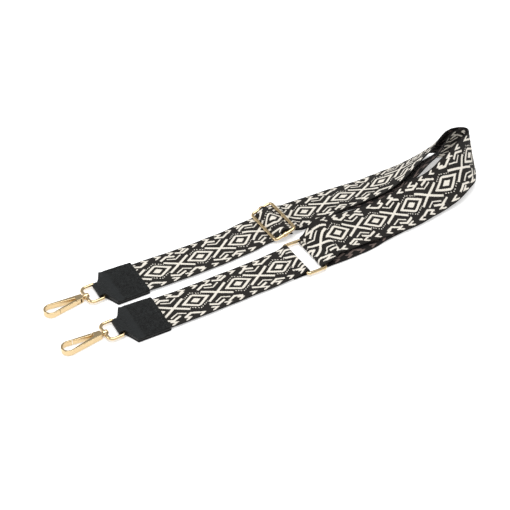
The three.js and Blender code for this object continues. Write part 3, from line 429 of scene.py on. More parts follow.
def mix_colour(tree, factor, a, b):
    n = tree.nodes.new("ShaderNodeMix")
    n.data_type = "RGBA"
    for sock, x in ((n.inputs[0], factor), (n.inputs[6], a), (n.inputs[7], b)):
        if isinstance(x, Num):
            x = x.value
        if isinstance(x, (tuple, list)):
            sock.default_value = (*x[:3], 1.0)
        elif isinstance(x, (int, float)):
            sock.default_value = x
        else:
            tree.links.new(x, sock)
    return n.outputs[2]


# ------------------------------------------------------------------ woven pattern
REPEAT = 53.21
CREAM = (0.86, 0.825, 0.755)
INK = (0.011, 0.0105, 0.010)


def weave_material(name, arrow_far, arrow_near):
    """Black and cream jacquard. u runs along the webbing in mm, v across it; one motif row per side, mirrored."""
    m, t, bsdf = material(name)
    at = t.nodes.new("ShaderNodeAttribute")
    at.attribute_type = "GEOMETRY"
    at.attribute_name = "weave"
    sep = t.nodes.new("ShaderNodeSeparateXYZ")
    t.links.new(at.outputs["Vector"], sep.inputs[0])
    U, V, SIDE = (Num(t, sep.outputs[k]) for k in range(3))
    q = 0.62
    # yarn steps: edges of the motifs follow whole yarns
    Uq = ((U / q).floor() + 0.5) * q
    Vq = ((V / 0.58).floor() + 0.5) * 0.58
    v = Vq.abs()
    ud = Uq.mod(REPEAT)                      # 0 at a diamond
    dx = (ud.min(REPEAT - ud))               # distance to the nearest diamond
    u = ud - REPEAT / 2                      # 0 at the crossing, grows along the webbing
    ux = u.abs()

    def bar(a, b, w, uu=None):
        """1 inside a bar of width w from a to b."""
        uu = u if uu is None else uu
        (ax, ay), (bx, by) = a, b
        ex, ey = bx - ax, by - ay
        L = math.hypot(ex, ey)
        ex, ey = ex / L, ey / L
        px, py = uu - ax, v - ay
        along = px * ex + py * ey
        off = (px * ey - py * ex).abs()
        return off.less(w / 2) * along.more(-w * 0.28) * along.less(L + w * 0.28)

    shapes = []
    # crossing
    shapes.append(bar((0, 0), (14.4, 9.1), 2.8, ux))
    # diamond: ring and heart
    outer = (dx / 17.2 + v / 10.9).less(1.0) * v.less(10.0)
    inner = (dx / 12.2 + v / 7.7).less(1.0)
    heart = (dx / 5.9 + v / 3.9).less(1.0)
    shapes.append((outer - inner * outer).clamp())
    shapes.append(heart)
    # thin vee nested over the crossing
    shapes.append(bar((-9.0, 13.2), (0, 9.1), 1.5))
    shapes.append(bar((0, 9.1), (8.2, 13.5), 1.5))
    # thick roof before the crossing, thick vee after it
    shapes.append(bar((-16.4, 13.7), (-8.2, 17.7), 2.5))
    shapes.append(bar((-8.2, 17.7), (0.6, 14.3), 2.5))
    shapes.append(bar((4.6, 18.8), (13.0, 15.2), 2.5))
    shapes.append(bar((13.0, 15.2), (21.0, 18.8), 2.5))
    # dotted chevron outside the diamond
    dots = ((dx + 0.6) / 2.7).frac().less(0.47)
    band = (dx * 0.60 + v)
    dotted = band.more(13.1) * band.less(14.3) * dx.less(10.6)
    shapes.append(dotted * dots)
    # rows of swept arrowheads near the two selvages
    pitch = 0.3 * REPEAT
    far = Vq.more(0.0)
    tip = far * arrow_far + (1 - far) * arrow_near
    a = (tip - Uq).mod(pitch)                # distance behind the tip
    b = (v - 20.9).abs()
    head = (a - b * 2.3)
    arrow = head.more(0.0) * head.less(5.0) * b.less(3.2) * a.less(9.0)
    shapes.append(arrow)
    mask = shapes[0]
    for s in shapes[1:]:
        mask = mask.max(s)
    mask = mask * v.less(24.0)

    # yarns: warp cords along the webbing, picks across
    cord = (V * (2 * math.pi / 1.16)).sin()
    pick = (U * (2 * math.pi / 1.24)).sin()
    # the weave's relief, used in the colours below only for painted shade in the dips and a faint painted highlight on
    # the crests
    weave_shading = (cord.abs() * 0.5 + pick.abs() * 0.5)
    fuzz = noise(t, 900.0, 3.0, object_coordinates(t))
    fz = Num(t, fuzz.outputs["Fac"])
    # cream yarns darken in the dips between picks, a painted shade; black ones lift a little towards the crests, a
    # faint painted highlight, and show a random brown tone from the fuzz noise
    cream = mix_colour(t, (fz * 0.5 + weave_shading * 0.35).clamp(), (CREAM[0] * 0.80, CREAM[1] * 0.77, CREAM[2] * 0.72), CREAM)
    ink = mix_colour(t, (fz * 0.9 + weave_shading * 0.1).clamp(), INK, (0.028, 0.025, 0.022))
    face = mix_colour(t, mask, ink, cream)
    # reverse side: dark with the motifs showing faintly and pinkish
    back = mix_colour(t, mask * (fz * 0.5 + 0.35).clamp(), (0.011, 0.010, 0.0095), (0.25, 0.19, 0.17))
    top = SIDE.more(0.3)
    colour = mix_colour(t, top, back, face)
    t.links.new(colour, bsdf.inputs["Base Color"])
    bsdf.inputs["Roughness"].default_value = 0.92
    bsdf.inputs["Specular IOR Level"].default_value = 0.12
    bsdf.inputs["Sheen Weight"].default_value = 0.04
    bsdf.inputs["Sheen Roughness"].default_value = 0.5
    height = (cord.abs() * 0.5 + pick.abs() * 0.6 + mask * 0.7 + fz * 0.4)
    t.links.new(bump(t, height.value, 0.55, 0.00022), bsdf.inputs["Normal"])
    return m


def leather_material(name):
    m, t, bsdf = material(name)
    at = t.nodes.new("ShaderNodeAttribute")
    at.attribute_type = "GEOMETRY"
    at.attribute_name = "hide"
    sep = t.nodes.new("ShaderNodeSeparateXYZ")
    t.links.new(at.outputs["Vector"], sep.inputs[0])
    grain_and_slope_light, edge = Num(t, sep.outputs[0]), Num(t, sep.outputs[1])
    co = object_coordinates(t)
    wob = noise(t, 260.0, 2.0, co)
    vm = t.nodes.new("ShaderNodeVectorMath")
    vm.operation = "MULTIPLY_ADD"
    t.links.new(wob.outputs["Color"], vm.inputs[0])
    vm.inputs[1].default_value = (0.0011,) * 3
    t.links.new(co, vm.inputs[2])
    cells = t.nodes.new("ShaderNodeTexVoronoi")
    cells.feature = "SMOOTH_F1"
    cells.inputs["Scale"].default_value = 720.0
    cells.inputs["Smoothness"].default_value = 0.35
    t.links.new(vm.outputs[0], cells.inputs["Vector"])
    fine = noise(t, 2600.0, 3.0, co)
    cell = Num(t, cells.outputs["Distance"])
    fn = Num(t, fine.outputs["Fac"])
    crease = Num(t, noise(t, 300.0, 2.5, co).outputs["Fac"])
    height = ((0.55 - cell) * 1.3 + fn * 0.22 + crease * 2.2) * grain_and_slope_light
    t.links.new(bump(t, height.value, 1.0, 0.00050), bsdf.inputs["Normal"])
    # painted shade: the colour darkens in the valleys between the pebbles, where the cell distance is high; the crease
    # noise adds random darker tone
    pebble_tone_and_shade = mix_colour(t, (cell * 1.1 + (crease - 0.5) * 2.4).clamp(), (0.0125, 0.0145, 0.0145), (0.002, 0.0025, 0.0025))
    # painted highlight: where the grain weight is low, on the slope beside the neck, the colour goes lighter, standing
    # in for the sheen of the left light
    smooth = mix_colour(t, grain_and_slope_light.clamp(), (0.017, 0.019, 0.020), pebble_tone_and_shade)
    painted = mix_colour(t, edge.clamp(), smooth, (0.002, 0.002, 0.002))
    t.links.new(painted, bsdf.inputs["Base Color"])
    rough = (grain_and_slope_light * 0.10 + fn * 0.16 + 0.36)
    t.links.new(rough.value, bsdf.inputs["Roughness"])
    bsdf.inputs["Specular IOR Level"].default_value = 0.17
    return m


def metal_material(name, colour, rough, wear=0.03, tarnish=None):
    m, t, bsdf = material(name)
    co = object_coordinates(t)
    cloud = noise(t, 140.0, 3.0, co)
    c = Num(t, cloud.outputs["Fac"])
    dark = tuple(x * 0.86 for x in colour) if tarnish is None else tarnish
    t.links.new(mix_colour(t, (c * 1.2 - 0.1).clamp(), dark, colour), bsdf.inputs["Base Color"])
    t.links.new((c * wear * 2 + (rough - wear)).value, bsdf.inputs["Roughness"])
    bsdf.inputs["Metallic"].default_value = 1.0
    soft = noise(t, 420.0, 2.0, co)
    t.links.new(bump(t, soft.outputs["Fac"], 0.16, 0.00010), bsdf.inputs["Normal"])
    return m


def thread_material(name, colour):
    m, t, bsdf = material(name)
    co = object_coordinates(t)
    n = noise(t, 3000.0, 2.0, co)
    c = Num(t, n.outputs["Fac"])
    t.links.new(mix_colour(t, c, tuple(x * 0.5 for x in colour), colour), bsdf.inputs["Base Color"])
    bsdf.inputs["Roughness"].default_value = 0.7
    t.links.new(bump(t, n.outputs["Fac"], 0.4, 0.0001), bsdf.inputs["Normal"])
    return m


PATTERN_SHORT = weave_material("webbing_short", -1.5 + 0.0, 1.9)
PATTERN_LONG = weave_material("webbing_long", -1.5 + 0.0, 1.9)
LEATHER = leather_material("leather")
GOLD = metal_material("gold", (0.71, 0.545, 0.315), 0.13, 0.03)
STEEL = metal_material("steel", (0.50, 0.49, 0.47), 0.42, 0.06)
THREAD = thread_material("thread", (0.020, 0.020, 0.021))

for node, mesh_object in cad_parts.items():
    for k in range(max(1, len(mesh_object.data.materials))):
        chosen = (STEEL if node.startswith(("gate_pin", "gate_spring")) else THREAD if "stitching" in node
                  else LEATHER if node.startswith("leather") else PATTERN_LONG if "webbing" in node else GOLD)
        if len(mesh_object.data.materials):
            mesh_object.data.materials[k] = chosen
        else:
            mesh_object.data.materials.append(chosen)

# ------------------------------------------------------------------ webbing
LONG = cut_path(LONG_PATH)
SHORT = cut_path(SHORT_PATH)
# distance along the long webbing (mm) and the pattern's coordinate there
PHASE_S = [0, 191.0, 209.3, 222.0, 236.3, 246.8, 363.0, 394.3, 420.4, 549.6, 581.9, 613.5, 639.4, 664.5, 689.0, 757.2, 1373.7]
PHASE_U = [-50.5, 140.5, 159.6, 175.4, 191.9, 205.2, 319.3, 345.9, 372.5, 505.5, 532.1, 558.7, 585.3, 611.9, 638.5, 706.4, 1322.9]


def long_phase(S):
    return np.interp(S, PHASE_S, PHASE_U)


def short_phase(S):
    return S - 70.4


def nearest(path, x, lo, hi):
    """Sample closest to the given x between two distances along the path."""
    S, P = path[0], path[1]
    k = np.where((S >= lo) & (S <= hi))[0]
    return int(k[np.argmin(np.abs(P[k, 0] - x))])


cut = [0,
       nearest(LONG, 36.0, 150, 195),
       nearest(LONG, 82.0, 215, 245),
       nearest(LONG, 282.0, 380, 450),
       nearest(LONG, 252.0, 560, 620),
       nearest(LONG, 76.5, 793, 803),
       nearest(LONG, 252.0, 900, 1000),
       nearest(LONG, 282.0, 1080, 1150),
       nearest(LONG, 84.0, 1310, 1336),
       len(LONG[0]) - 1]
names = ["outer_end", "over_slider", "outer_upper", "outer_turn", "outer_lower", "inner_lower", "inner_turn", "inner_upper", "slider_fold"]
bends = [("root", "slider", -100, 33), None, ("slider", "root", 92, 276), "root", ("root", "ring", 248, 96),
         ("ring", "root", 96, 248), "root", ("root", "slider", 276, 92), ("slider", "slider_bar", 84, 72)]
for k, nm in enumerate(names):
    o, length = webbing_piece("webbing_" + nm, LONG, cut[k], cut[k + 1], PATTERN_LONG, long_phase, seed=0.0)
    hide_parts("long_webbing")
    b = bends[k]
    if b is None:
        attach(o, "slider")
    elif b == "root":
        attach(o, "root")
    else:
        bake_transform(o)

o, length = webbing_piece("webbing_short_length", SHORT, 0, len(SHORT[0]) - 1, PATTERN_SHORT, short_phase, seed=2.0)
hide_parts("short_webbing")
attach(o, "short_end")


# ------------------------------------------------------------------ stitches
def stitch_row(start, end, length, gap, radius, lift=0.0, wobble=0.05):
    """Short lengths of thread, each rising from its hole and diving into the next."""
    start, end = np.array(start, float), np.array(end, float)
    d = end - start
    total = np.linalg.norm(d)
    d /= total
    side = np.cross([0, 0, 1.0], d)
    count = int(total // (length + gap))
    pad = (total - count * (length + gap) + gap) / 2
    parts = []
    for i in range(count):
        a = start + d * (pad + i * (length + gap))
        rings = []
        for t in np.linspace(0, 1, 9):
            c = a + d * length * t + np.array([0, 0, lift + 0.42 * math.sin(math.pi * t) - 0.30])
            c = c + side * wobble * math.sin(3.1 * i + 5 * t)
            r = radius * (0.55 + 0.45 * math.sin(math.pi * t) ** 0.5)
            ang = np.linspace(0, 2 * math.pi, 8, endpoint=False)
            rings.append([c + side * r * math.cos(q) + np.array([0, 0, 1.0]) * r * math.sin(q) for q in ang])
        parts.append(tube(rings))
    return merged(*parts)


def stitches(name, body, node, *rows):
    v, f = merged(*rows)
    o = outward(new_object(name, v, f, THREAD))
    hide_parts(node)
    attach(o, body)
    return o


# row that closes the short webbing's fold, on its upper face
stitches("ring_fold_seam", "short_end", "ring_fold_stitching",
         stitch_row((37.3, -31.6 - 23.6, 4.60), (37.3, -31.6 + 23.6, 4.60), 2.9, 1.1, 0.42))
# row under the fold on the slider's bar
stitches("slider_fold_seam", "slider_bar", "slider_fold_stitching",
         stitch_row((66.2, 36 - 23, 2.0), (66.2, 36 + 23, 2.0), 2.9, 1.1, 0.36, wobble=0.03))


# ------------------------------------------------------------------ leather tabs
TAB_BACK, TAB_HALF, TAB_HALF_BACK, NECK_HALF, FOLD_R, AXIS_Z, TAB_TOP, BORE = 49.0, 27.9, 26.9, 10.9, 3.87, 3.95, 5.2, 2.2
GROOVE_X = -44.6


def bezier(p0, p1, p2, p3, n):
    t = np.linspace(0, 1, n)[:, None]
    p0, p1, p2, p3 = (np.array(p, float) for p in (p0, p1, p2, p3))
    return (1 - t) ** 3 * p0 + 3 * (1 - t) ** 2 * t * p1 + 3 * (1 - t) * t**2 * p2 + t**3 * p3


_flare = bezier((-10.6, TAB_HALF - 0.2), (-8.0, 21.8), (-4.9, NECK_HALF + 3.5), (-2.5, NECK_HALF), 60)


def tab_half(x):
    """Half the tab's width at a distance from the bar."""
    if x <= -10.6:
        h = TAB_HALF_BACK + 0.8 * max(0.0, min(1.0, (x + TAB_BACK - 1.2) / 37.2))
        if x < -TAB_BACK + 1.3:
            h -= 1.3 - (x + TAB_BACK)
        return h
    if x >= -2.5:
        return NECK_HALF
    return float(np.interp(x, _flare[:, 0], _flare[:, 1]))


def leather_tab(name, place, body, node):
    rows = []                                   # outer (x, z), inner (x, z), normal out, grain
    step = 0.55
    xs = list(np.arange(-TAB_BACK, -4.0, step))
    for x in xs:                                # lower leaf
        rows.append(((x, 0.03), (x, 1.72 if x < -19 else 2.55), (0, -1), x))
    for x in np.arange(-4.0, 0, 0.5):
        a = math.radians(-176 + 86 * (x + 4) / 4)
        rows.append(((x, 0.03 + 0.12 * (x + 4) / 4), (BORE * math.cos(a), AXIS_Z + BORE * math.sin(a)), (0, -1), x))
    for k in range(0, 31):                      # round the loop's bar
        a = math.radians(-90 + 6 * k)
        rows.append(((FOLD_R * math.cos(a), AXIS_Z + FOLD_R * math.sin(a)), (BORE * math.cos(a), AXIS_Z + BORE * math.sin(a)),
                     (math.cos(a), math.sin(a)), FOLD_R * math.cos(a)))
    for x in np.arange(-0.5, -4.01, -0.5):
        a = math.radians(90 + 86 * (-x) / 4)
        z = 7.82 - 0.52 * (x / 4) ** 2
        rows.append(((x, z), (BORE * math.cos(a), AXIS_Z + BORE * math.sin(a)), (0, 1), x))
    for x in xs[::-1]:                          # upper leaf
        z = np.interp(x, [-49, -19.5, -17.5, -15.5, -13.6, -4.0], [TAB_TOP, TAB_TOP, TAB_TOP - 0.02, 4.85, 4.80, 7.30])
        g = 0.0
        z -= 0.42 * math.exp(-((x - GROOVE_X) / 0.62) ** 2)
        rows.append(((x, float(z)), (x, 3.48 if x < -19 else 2.65), (0, 1), x))
    n = len(rows)
    # columns: fine at the edges, for their rounding and for the welt that joins the leaves
    edge = np.array([0.0, 0.12, 0.32, 0.65, 1.1, 1.7, 2.35])
    drop = np.array([0.62, 0.30, 0.13, 0.03, 0.0, 0.0, 0.0])
    inner_cols = np.linspace(-1, 1, 47)
    rings = []
    hide = []
    for i, (o2, i2, nn, x) in enumerate(rows):
        h = tab_half(x)
        y_mid = inner_cols * (h - 2.5)
        ys = np.concatenate([-(h - edge), y_mid[1:-1], (h - edge)[::-1]])
        dr = np.concatenate([drop, np.zeros(len(y_mid) - 2), drop[::-1]])
        lead = min(i, n - 1 - i) * step          # rounding of the two free ends
        end_drop = 0.55 * max(0.0, 1 - lead / 0.9) ** 2
        outer, inner = [], []
        for y, d in zip(ys, dr):
            push = 0.05 * math.sin(x / 5.1 + y / 6.3) + 0.04 * math.sin(x / 2.9 - y / 4.1 + 1.0)
            if lead < 2 or abs(x) < 6:
                push = 0.0
            out = -(d + end_drop) + push * (1 if nn[1] > 0.5 else 0)
            outer.append((o2[0] + nn[0] * out, y, o2[1] + nn[1] * out))
            zi = i2[1]
            if abs(y) > 25.5 and x < -10.6:
                zi = 2.57 if nn[1] < 0 else 2.63
            inner.append((i2[0], y * (1 if abs(y) < h - 0.05 else 1), zi))
        rings.append(outer + inner[::-1])
        # grain weight: pebbled on the panel, smooth on the slope beside the neck; where it is low the leather's colour
        # is also lightened, a painted highlight on the slope
        g = np.interp(x, [-49, -19.0, -16.5, -13.0, -8, 4], [1, 1, 0.25, 0.25, 0.55, 0.5])
        for y, d in zip(ys, dr):
            e = 1.0 if (d > 0.2 or lead < 0.4) else 0.0
            hide.append((g, e, 0))
        hide += [(0.2, 1.0, 0)] * len(ys)
    verts, faces = tube(rings)
    o = new_object(name, verts, faces, LEATHER, place=place)
    attribute(o, "hide", hide)
    outward(o)
    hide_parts(node)
    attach(o, body)
    return o


TABS = {"a": (-170.79, -33.57, -1.8, 183.6, -1, "short_end"), "b": (-165.2, 29.21, -0.8, 184.5, 1, "root")}
for tag, (X, Y, turn, loop_turn, side, body) in TABS.items():
    M = matrix(X, Y, 0, math.pi + math.radians(turn))
    leather_tab("tab_" + tag, M, body, "leather_tab_" + tag)
    row = stitch_row((GROOVE_X, -TAB_HALF_BACK + 1.9, TAB_TOP - 0.28), (GROOVE_X, TAB_HALF_BACK - 1.9, TAB_TOP - 0.28), 3.1, 1.0, 0.38)
    stitches("tab_seam_" + tag, body, "tab_stitching_" + tag, moved(row, M))

# ------------------------------------------------------------------ gold hardware
LOOP_DEPTH, LOOP_WIDTH, LOOP_CORNER, LOOP_CORNER_BAR, WIRE = 16.6, 26.4, 5.6, 2.2, 3.7
BOSS_R, BOSS_LENGTH, SWIVEL_R = 3.5, 4.5, 1.8


def rod(points, radius, sides=20, flat=1.0):
    """Round bar along points, with a vertical second axis."""
    P = np.array(points, float)
    T = np.gradient(P, axis=0)
    T /= np.linalg.norm(T, axis=1)[:, None]
    ang = np.linspace(0, 2 * math.pi, sides, endpoint=False)
    rings = []
    for p, d in zip(P, T):
        ref = np.array([0, 0, 1.0]) if abs(d[2]) < 0.9 else np.array([0, 1.0, 0])
        a = np.cross(ref, d)
        a /= np.linalg.norm(a)
        b = np.cross(d, a)
        rings.append([p + a * radius * math.cos(q) + b * radius * flat * math.sin(q) for q in ang])
    return tube(rings)


def lathe_x(profile, sides=40):
    """Closed body of revolution about x from (radius, x) points that run round the section."""
    ang = np.linspace(0, 2 * math.pi, sides, endpoint=False)
    rings = [[(x, r * math.cos(q), r * math.sin(q)) for r, x in profile] for q in ang]
    return tube(rings, close=True)


def disc_x(profile, sides=40):
    """Body of revolution about x whose profile starts and ends on the axis."""
    ang = np.linspace(0, 2 * math.pi, sides, endpoint=False)
    rings = [[(x, r * math.cos(q), r * math.sin(q)) for q in ang] for r, x in profile]
    return tube(rings)


def rectangle_line(half_x, half_y, far, near, n=12):
    out = []
    for sx, sy, a0 in ((1, 1, 0), (-1, 1, 90), (-1, -1, 180), (1, -1, 270)):
        c = far if sx > 0 else near
        for k in range(n + 1):
            a = math.radians(a0 + 90 * k / n)
            out.append((sx * (half_x - c) + c * math.cos(a), sy * (half_y - c) + c * math.sin(a), math.cos(a), math.sin(a)))
    return out


def closed_wire(line, radius, sides=24):
    ang = np.linspace(0, 2 * math.pi, sides, endpoint=False)
    dense = []
    n = len(line)
    for i in range(n):                         # extra rings on the straights
        a, b = line[i], line[(i + 1) % n]
        gap = math.hypot(b[0] - a[0], b[1] - a[1])
        k = max(1, int(gap / 1.5))
        for j in range(k):
            t = j / k
            nx, ny = a[2] * (1 - t) + b[2] * t, a[3] * (1 - t) + b[3] * t
            L = math.hypot(nx, ny)
            dense.append((a[0] * (1 - t) + b[0] * t, a[1] * (1 - t) + b[1] * t, nx / L, ny / L))
    rings = [[(x + radius * math.cos(q) * nx, y + radius * math.cos(q) * ny, radius * math.sin(q)) for q in ang] for x, y, nx, ny in dense]
    return tube(rings, close=True)


def gold(name, part, place, node, body, fuse=None):
    v, f = part
    o = new_object(name, v, f, GOLD, place=place)
    if fuse:
        cast(o, *fuse)
        o.data.materials.clear()
        o.data.materials.append(GOLD)
        o.data.polygons.foreach_set("use_smooth", [True] * len(o.data.polygons))
    else:
        outward(o)
    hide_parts(node)
    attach(o, body)
    return o


def prism(outline, z0, z1, bevel):
    """Flat plate with chamfered rims from a 2D outline."""
    P = np.array(outline, float)
    n = len(P)
    c = P.mean(0)
    rings = []
    nrm = []
    for i in range(n):
        d = P[(i + 1) % n] - P[i - 1]
        nn = np.array([d[1], -d[0]])
        nn /= np.linalg.norm(nn)
        if nn @ (P[i] - c) < 0:
            nn = -nn
        nrm.append(nn)
    nrm = np.array(nrm)
    for z, inset in ((z0, bevel), (z0 + bevel * 0.3, bevel * 0.3), (z0 + bevel, 0), (z1 - bevel, 0), (z1 - bevel * 0.3, bevel * 0.3), (z1, bevel)):
        Q = P - nrm * inset
        rings.append([(x, y, z) for x, y in Q])
    return tube(rings)


HOOK_LENGTH, HOOK_R, HOOK_BAND, HOOK_THICK = 46.8, 8.3, 2.1, 6.6
CX = HOOK_LENGTH - HOOK_R


def hook_edge(outer, n_line=46, n_arc=44):
    """Half outline from the head to the tip on the side y > 0: a straight arm, then the round end."""
    r, lead = (HOOK_R, 0.13) if outer else (HOOK_R - HOOK_BAND, 0.204)
    start = (9.2, 4.76) if outer else (9.0, 0.25)
    a = np.linspace(math.pi / 2 + lead, 0, n_arc)
    arc = np.stack([CX + r * np.cos(a), r * np.sin(a)], 1)
    t = np.linspace(0, 1, n_line)[:, None]
    line = np.array(start) * (1 - t) + arc[0] * t
    return np.concatenate([line, arc[1:]])


def band(outer, inner, thick, r=1.0):
    """Rounded bar of rectangular section between two matched edges."""
    rings = []
    for o, i in zip(outer, inner):
        o, i = np.array(o), np.array(i)
        c, d = (o + i) / 2, o - i
        w = np.linalg.norm(d)
        d /= w
        hw, ht = w / 2, thick / 2
        ring = []
        for sx, sz, a0 in ((1, 1, 0), (-1, 1, 90), (-1, -1, 180), (1, -1, 270)):
            for k in range(6):
                a = math.radians(a0 + 18 * k)
                x = sx * (hw - r) + r * math.cos(a)
                z = sz * (ht - r) + r * math.sin(a)
                ring.append((c[0] + d[0] * x, c[1] + d[1] * x, z))
        rings.append(ring)
    return tube(rings)


def clip_after(edge, x_stop):
    """Keep the part of an edge up to x_stop, ending exactly there."""
    keep = edge[edge[:, 0] < x_stop]
    y = np.interp(x_stop, edge[:46, 0], edge[:46, 1])
    return np.concatenate([keep, [[x_stop, y]]])


def resample(edge, n):
    d = np.r_[0, np.cumsum(np.linalg.norm(np.diff(edge, axis=0), axis=1))]
    t = np.linspace(0, d[-1], n)
    return np.stack([np.interp(t, d, edge[:, 0]), np.interp(t, d, edge[:, 1])], 1)


for tag, (X, Y, turn, loop_turn, side, body) in TABS.items():
    L = matrix(X, Y, AXIS_Z, math.radians(loop_turn))
    # swivel loop: bent wire whose ends meet the boss
    line = []
    hd, hw = LOOP_DEPTH / 2, LOOP_WIDTH / 2
    ends = 2.45
    line += [(LOOP_DEPTH, y, 0) for y in np.linspace(ends, hw - LOOP_CORNER, 8)]
    for k in range(1, 13):
        a = math.radians(90 * k / 12)
        line.append((LOOP_DEPTH - LOOP_CORNER + LOOP_CORNER * math.cos(a), hw - LOOP_CORNER + LOOP_CORNER * math.sin(a), 0))
    for x in np.linspace(LOOP_DEPTH - LOOP_CORNER, LOOP_CORNER_BAR, 8)[1:]:
        line.append((x, hw, 0))
    for k in range(1, 13):
        a = math.radians(90 + 90 * k / 12)
        line.append((LOOP_CORNER_BAR + LOOP_CORNER_BAR * math.cos(a), hw - LOOP_CORNER_BAR + LOOP_CORNER_BAR * math.sin(a), 0))
    half = line + [(0, y, 0) for y in np.linspace(hw - LOOP_CORNER_BAR, 0, 8)[1:]]
    full = half + [(x, -y, 0) for x, y, z in half[::-1][1:]]
    wire = rod(full, WIRE / 2, 22)
    b0, b1 = LOOP_DEPTH - BOSS_LENGTH / 2, LOOP_DEPTH + BOSS_LENGTH / 2
    ri, ro = SWIVEL_R + 0.3, BOSS_R
    boss = lathe_x([(ri, b0 + 0.2), (ri + 0.2, b0), (ro - 0.5, b0), (ro - 0.12, b0 + 0.15), (ro, b0 + 0.5), (ro, b1 - 0.5), (ro - 0.12, b1 - 0.15),
                    (ro - 0.5, b1), (ri + 0.2, b1), (ri, b1 - 0.2)], 44)
    gold("loop_" + tag, merged(wire, boss), L, "swivel_loop_" + tag, "loop_" + tag, fuse=(0.2, 3, 0.5))

    # hook: local x = 0 at the boss's outer face
    H = L @ Matrix.Translation((LOOP_DEPTH + BOSS_LENGTH / 2 + 0.3, 0, 0))
    mirror = Matrix.Diagonal((1, side, 1, 1))
    eo, ei = hook_edge(True), hook_edge(False)
    # plain arm on y < 0, round the tip to the joint with the gate
    plain_o, plain_i = eo * [1, -1], ei * [1, -1]
    nose_o, nose_i = clip_after(eo, 31.25), clip_after(ei, 32.18)
    n2 = 60
    # stop both edges at the slanted joint face
    back_o, back_i = eo[::-1][1:], ei[::-1][1:]
    ko, ki = int(np.sum(back_o[:, 0] > 31.25)), int(np.sum(back_i[:, 0] > 32.18))
    bo = np.concatenate([back_o[:ko], [nose_o[-1]]])
    bi = np.concatenate([back_i[:ki], [nose_i[-1]]])
    side_o, side_i = resample(bo, n2), resample(bi, n2)
    body_band = band(np.concatenate([plain_o, side_o]), np.concatenate([plain_i, side_i]), HOOK_THICK, 0.62)
    head = [(1.2, -3.1), (2.2, -3.9), (9.9, -4.85), (9.9, 4.85), (2.2, 3.9), (1.2, 3.1)]
    head_v, head_f = prism(head, -3.3, 3.3, 0.55)
    block = new_object("head_block", head_v, head_f, GOLD, shift=False)
    outward(block)
    sv, sf = prism([(3.3, -1.9), (20, -1.9), (20, 12), (3.3, 12)], -2.4, 2.4, 0.01)
    cutter = new_object("slot_cutter", sv, sf, GOLD, shift=False)
    outward(cutter)
    bo_mod = block.modifiers.new("slot", "BOOLEAN")
    bo_mod.operation = "DIFFERENCE"
    bo_mod.solver = "EXACT"
    bo_mod.object = cutter
    baked(block)
    bv = np.array([list(v.co) for v in block.data.vertices]) / MM
    bf = [tuple(p.vertices) for p in block.data.polygons]
    bpy.data.objects.remove(block)
    bpy.data.objects.remove(cutter)
    shoulder = disc_x([(0.01, 0.0), (2.6, 0.0), (2.88, 0.18), (2.9, 0.4), (2.9, 2.6), (0.01, 2.6)], 40)
    gold("hook_" + tag, moved(merged(body_band, (bv, bf), shoulder), mirror), H, "hook_body_" + tag, "hook_" + tag, fuse=(0.2, 4, 0.5))

    # gate
    go = clip_after(eo, 30.92)
    go = resample(np.concatenate([[(10.35, np.interp(10.35, eo[:46, 0], eo[:46, 1]))], go[go[:, 0] > 10.4]]), 60)
    gi = resample(np.array([(10.6, 1.62), (16, 2.25), (22, 3.3), (30, 4.68), (31.85, 5.02)]), 60)
    gate_band = band(go, gi, 6.2, 0.55)
    root = prism([(6.4, 0.65), (11.6, 1.9), (11.6, 4.7), (5.6, 3.85)], -2.1, 2.1, 0.25)
    eye = lathe_x([(0.9, -2.1), (1.55, -2.1), (1.75, -1.9), (1.75, 1.9), (1.55, 2.1), (0.9, 2.1)], 36)
    eye = moved(eye, Matrix.Translation((6.0, 2.2, 0)) @ Matrix.Rotation(math.pi / 2, 4, "Y"))
    gold("gate_" + tag, moved(merged(gate_band, root, eye), mirror), H, "hook_gate_" + tag, "gate_" + tag, fuse=(0.2, 3, 0.5))

    # rivet that holds the hook on the loop
    back = -(BOSS_LENGTH + 0.6)
    rv = disc_x([(0.01, 2.0), (SWIVEL_R - 0.15, 2.0), (SWIVEL_R, 1.8), (SWIVEL_R, back), (2.6, back), (2.9, back - 0.25), (2.86, back - 0.7),
                 (2.5, back - 1.15), (1.9, back - 1.45), (1.3, back - 1.5), (1.0, back - 1.45), (0.75, back - 1.0), (0.01, back - 0.95)], 44)
    gold("rivet_" + tag, rv, H, "swivel_rivet_" + tag, "hook_" + tag)

# slider: frame of round wire, and its bar with a sleeve round each short side
SL, TILT = (57.8, 36.0, 9.2), 0.30
SM = matrix(*SL, tilt=-TILT)
gold("slider_wire", closed_wire(rectangle_line(13.6, 27.6, 4.0, 4.0), 1.9, 28), SM, "slider_frame", "slider")
bar = rod([(0, y, 0) for y in np.linspace(-25.15, 25.15, 40)], 1.5, 24)
parts = [bar]
for sy in (-1, 1):
    s0 = lathe_x([(2.15, -2.1), (2.3, -2.2), (2.65, -2.2), (2.85, -2.05), (2.9, -1.8), (2.9, 1.8), (2.85, 2.05), (2.65, 2.2), (2.3, 2.2), (2.15, 2.1)], 40)
    parts.append(moved(s0, Matrix.Translation((0, sy * 27.6, 0))))
gold("slider_crossbar", merged(*parts), SM, "slider_bar", "slider_bar", fuse=(0.2, 3, 0.5))
gold("ring_wire", closed_wire(rectangle_line(11.6, 27.45, 2.7, 2.7), 1.95, 28), matrix(58.9, -31.6, 4.15), "ring", "ring")

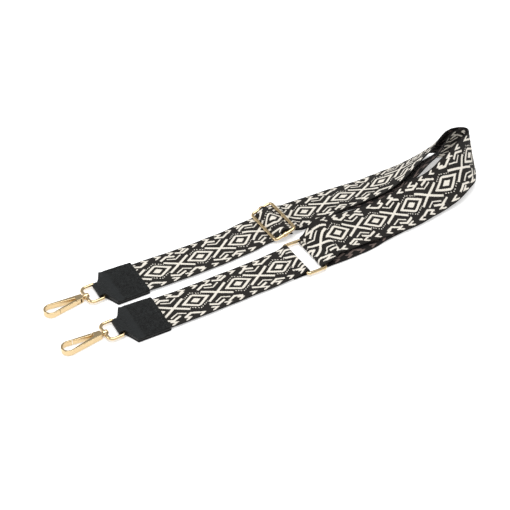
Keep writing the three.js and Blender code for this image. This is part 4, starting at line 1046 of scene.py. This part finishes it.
# ------------------------------------------------------------------ floor and light
fm, ft, fb = material("paper")
fn = noise(ft, 6.0, 2.0, object_coordinates(ft))
ft.links.new(mix_colour(ft, Num(ft, fn.outputs["Fac"]), (0.84, 0.84, 0.84), (0.86, 0.86, 0.86)), fb.inputs["Base Color"])
fb.inputs["Roughness"].default_value = 0.9
fb.inputs["Specular IOR Level"].default_value = 0.1
fb.inputs["Emission Color"].default_value = (1, 1, 1, 1)
fb.inputs["Emission Strength"].default_value = 0.42
bm = bmesh.new()
bmesh.ops.create_grid(bm, x_segments=8, y_segments=8, size=3.0)
fmesh = bpy.data.meshes.new("floor")
bm.to_mesh(fmesh)
bm.free()
fmesh.materials.append(fm)
floor = bpy.data.objects.new("floor", fmesh)
floor.location = (0, 0, -0.0003)
bpy.context.collection.objects.link(floor)


def area(name, location, aim, size, power, colour=(1, 1, 1), size_y=None):
    d = bpy.data.lights.new(name, "AREA")
    d.shape = "RECTANGLE"
    d.size = size
    d.size_y = size_y or size
    d.energy = power
    d.color = colour
    o = bpy.data.objects.new(name, d)
    o.location = location
    o.rotation_euler = (Vector(aim) - Vector(location)).to_track_quat("-Z", "Y").to_euler()
    bpy.context.collection.objects.link(o)
    return o


area("top", (-0.05, -0.10, 1.6), (0, 0, 0), 1.3, 20)
area("left", (-1.25, 0.45, 0.75), (-0.15, 0, 0), 0.8, 5)

world = bpy.data.worlds.new("studio")
bpy.context.scene.world = world
world.use_nodes = True
wt = world.node_tree
bg = wt.nodes["Background"]
tc = wt.nodes.new("ShaderNodeTexCoord")
sp = wt.nodes.new("ShaderNodeSeparateXYZ")
wt.links.new(tc.outputs["Generated"], sp.inputs[0])
ramp = wt.nodes.new("ShaderNodeValToRGB")
stops = [(0.0, 0.95), (0.20, 0.70), (0.45, 0.50), (0.75, 0.46), (1.0, 0.62)]     # brightness by height above the horizon
while len(ramp.color_ramp.elements) < len(stops):
    ramp.color_ramp.elements.new(0.5)
for el, (pos, val) in zip(ramp.color_ramp.elements, stops):
    el.position = pos
    el.color = (val, val, val, 1)
wt.links.new(sp.outputs[2], ramp.inputs[0])
wt.links.new(ramp.outputs[0], bg.inputs[0])
bg.inputs[1].default_value = 1.0

bpy.context.scene.view_settings.view_transform = "Standard"

# ------------------------------------------------------------------ update
bpy.context.view_layer.update()
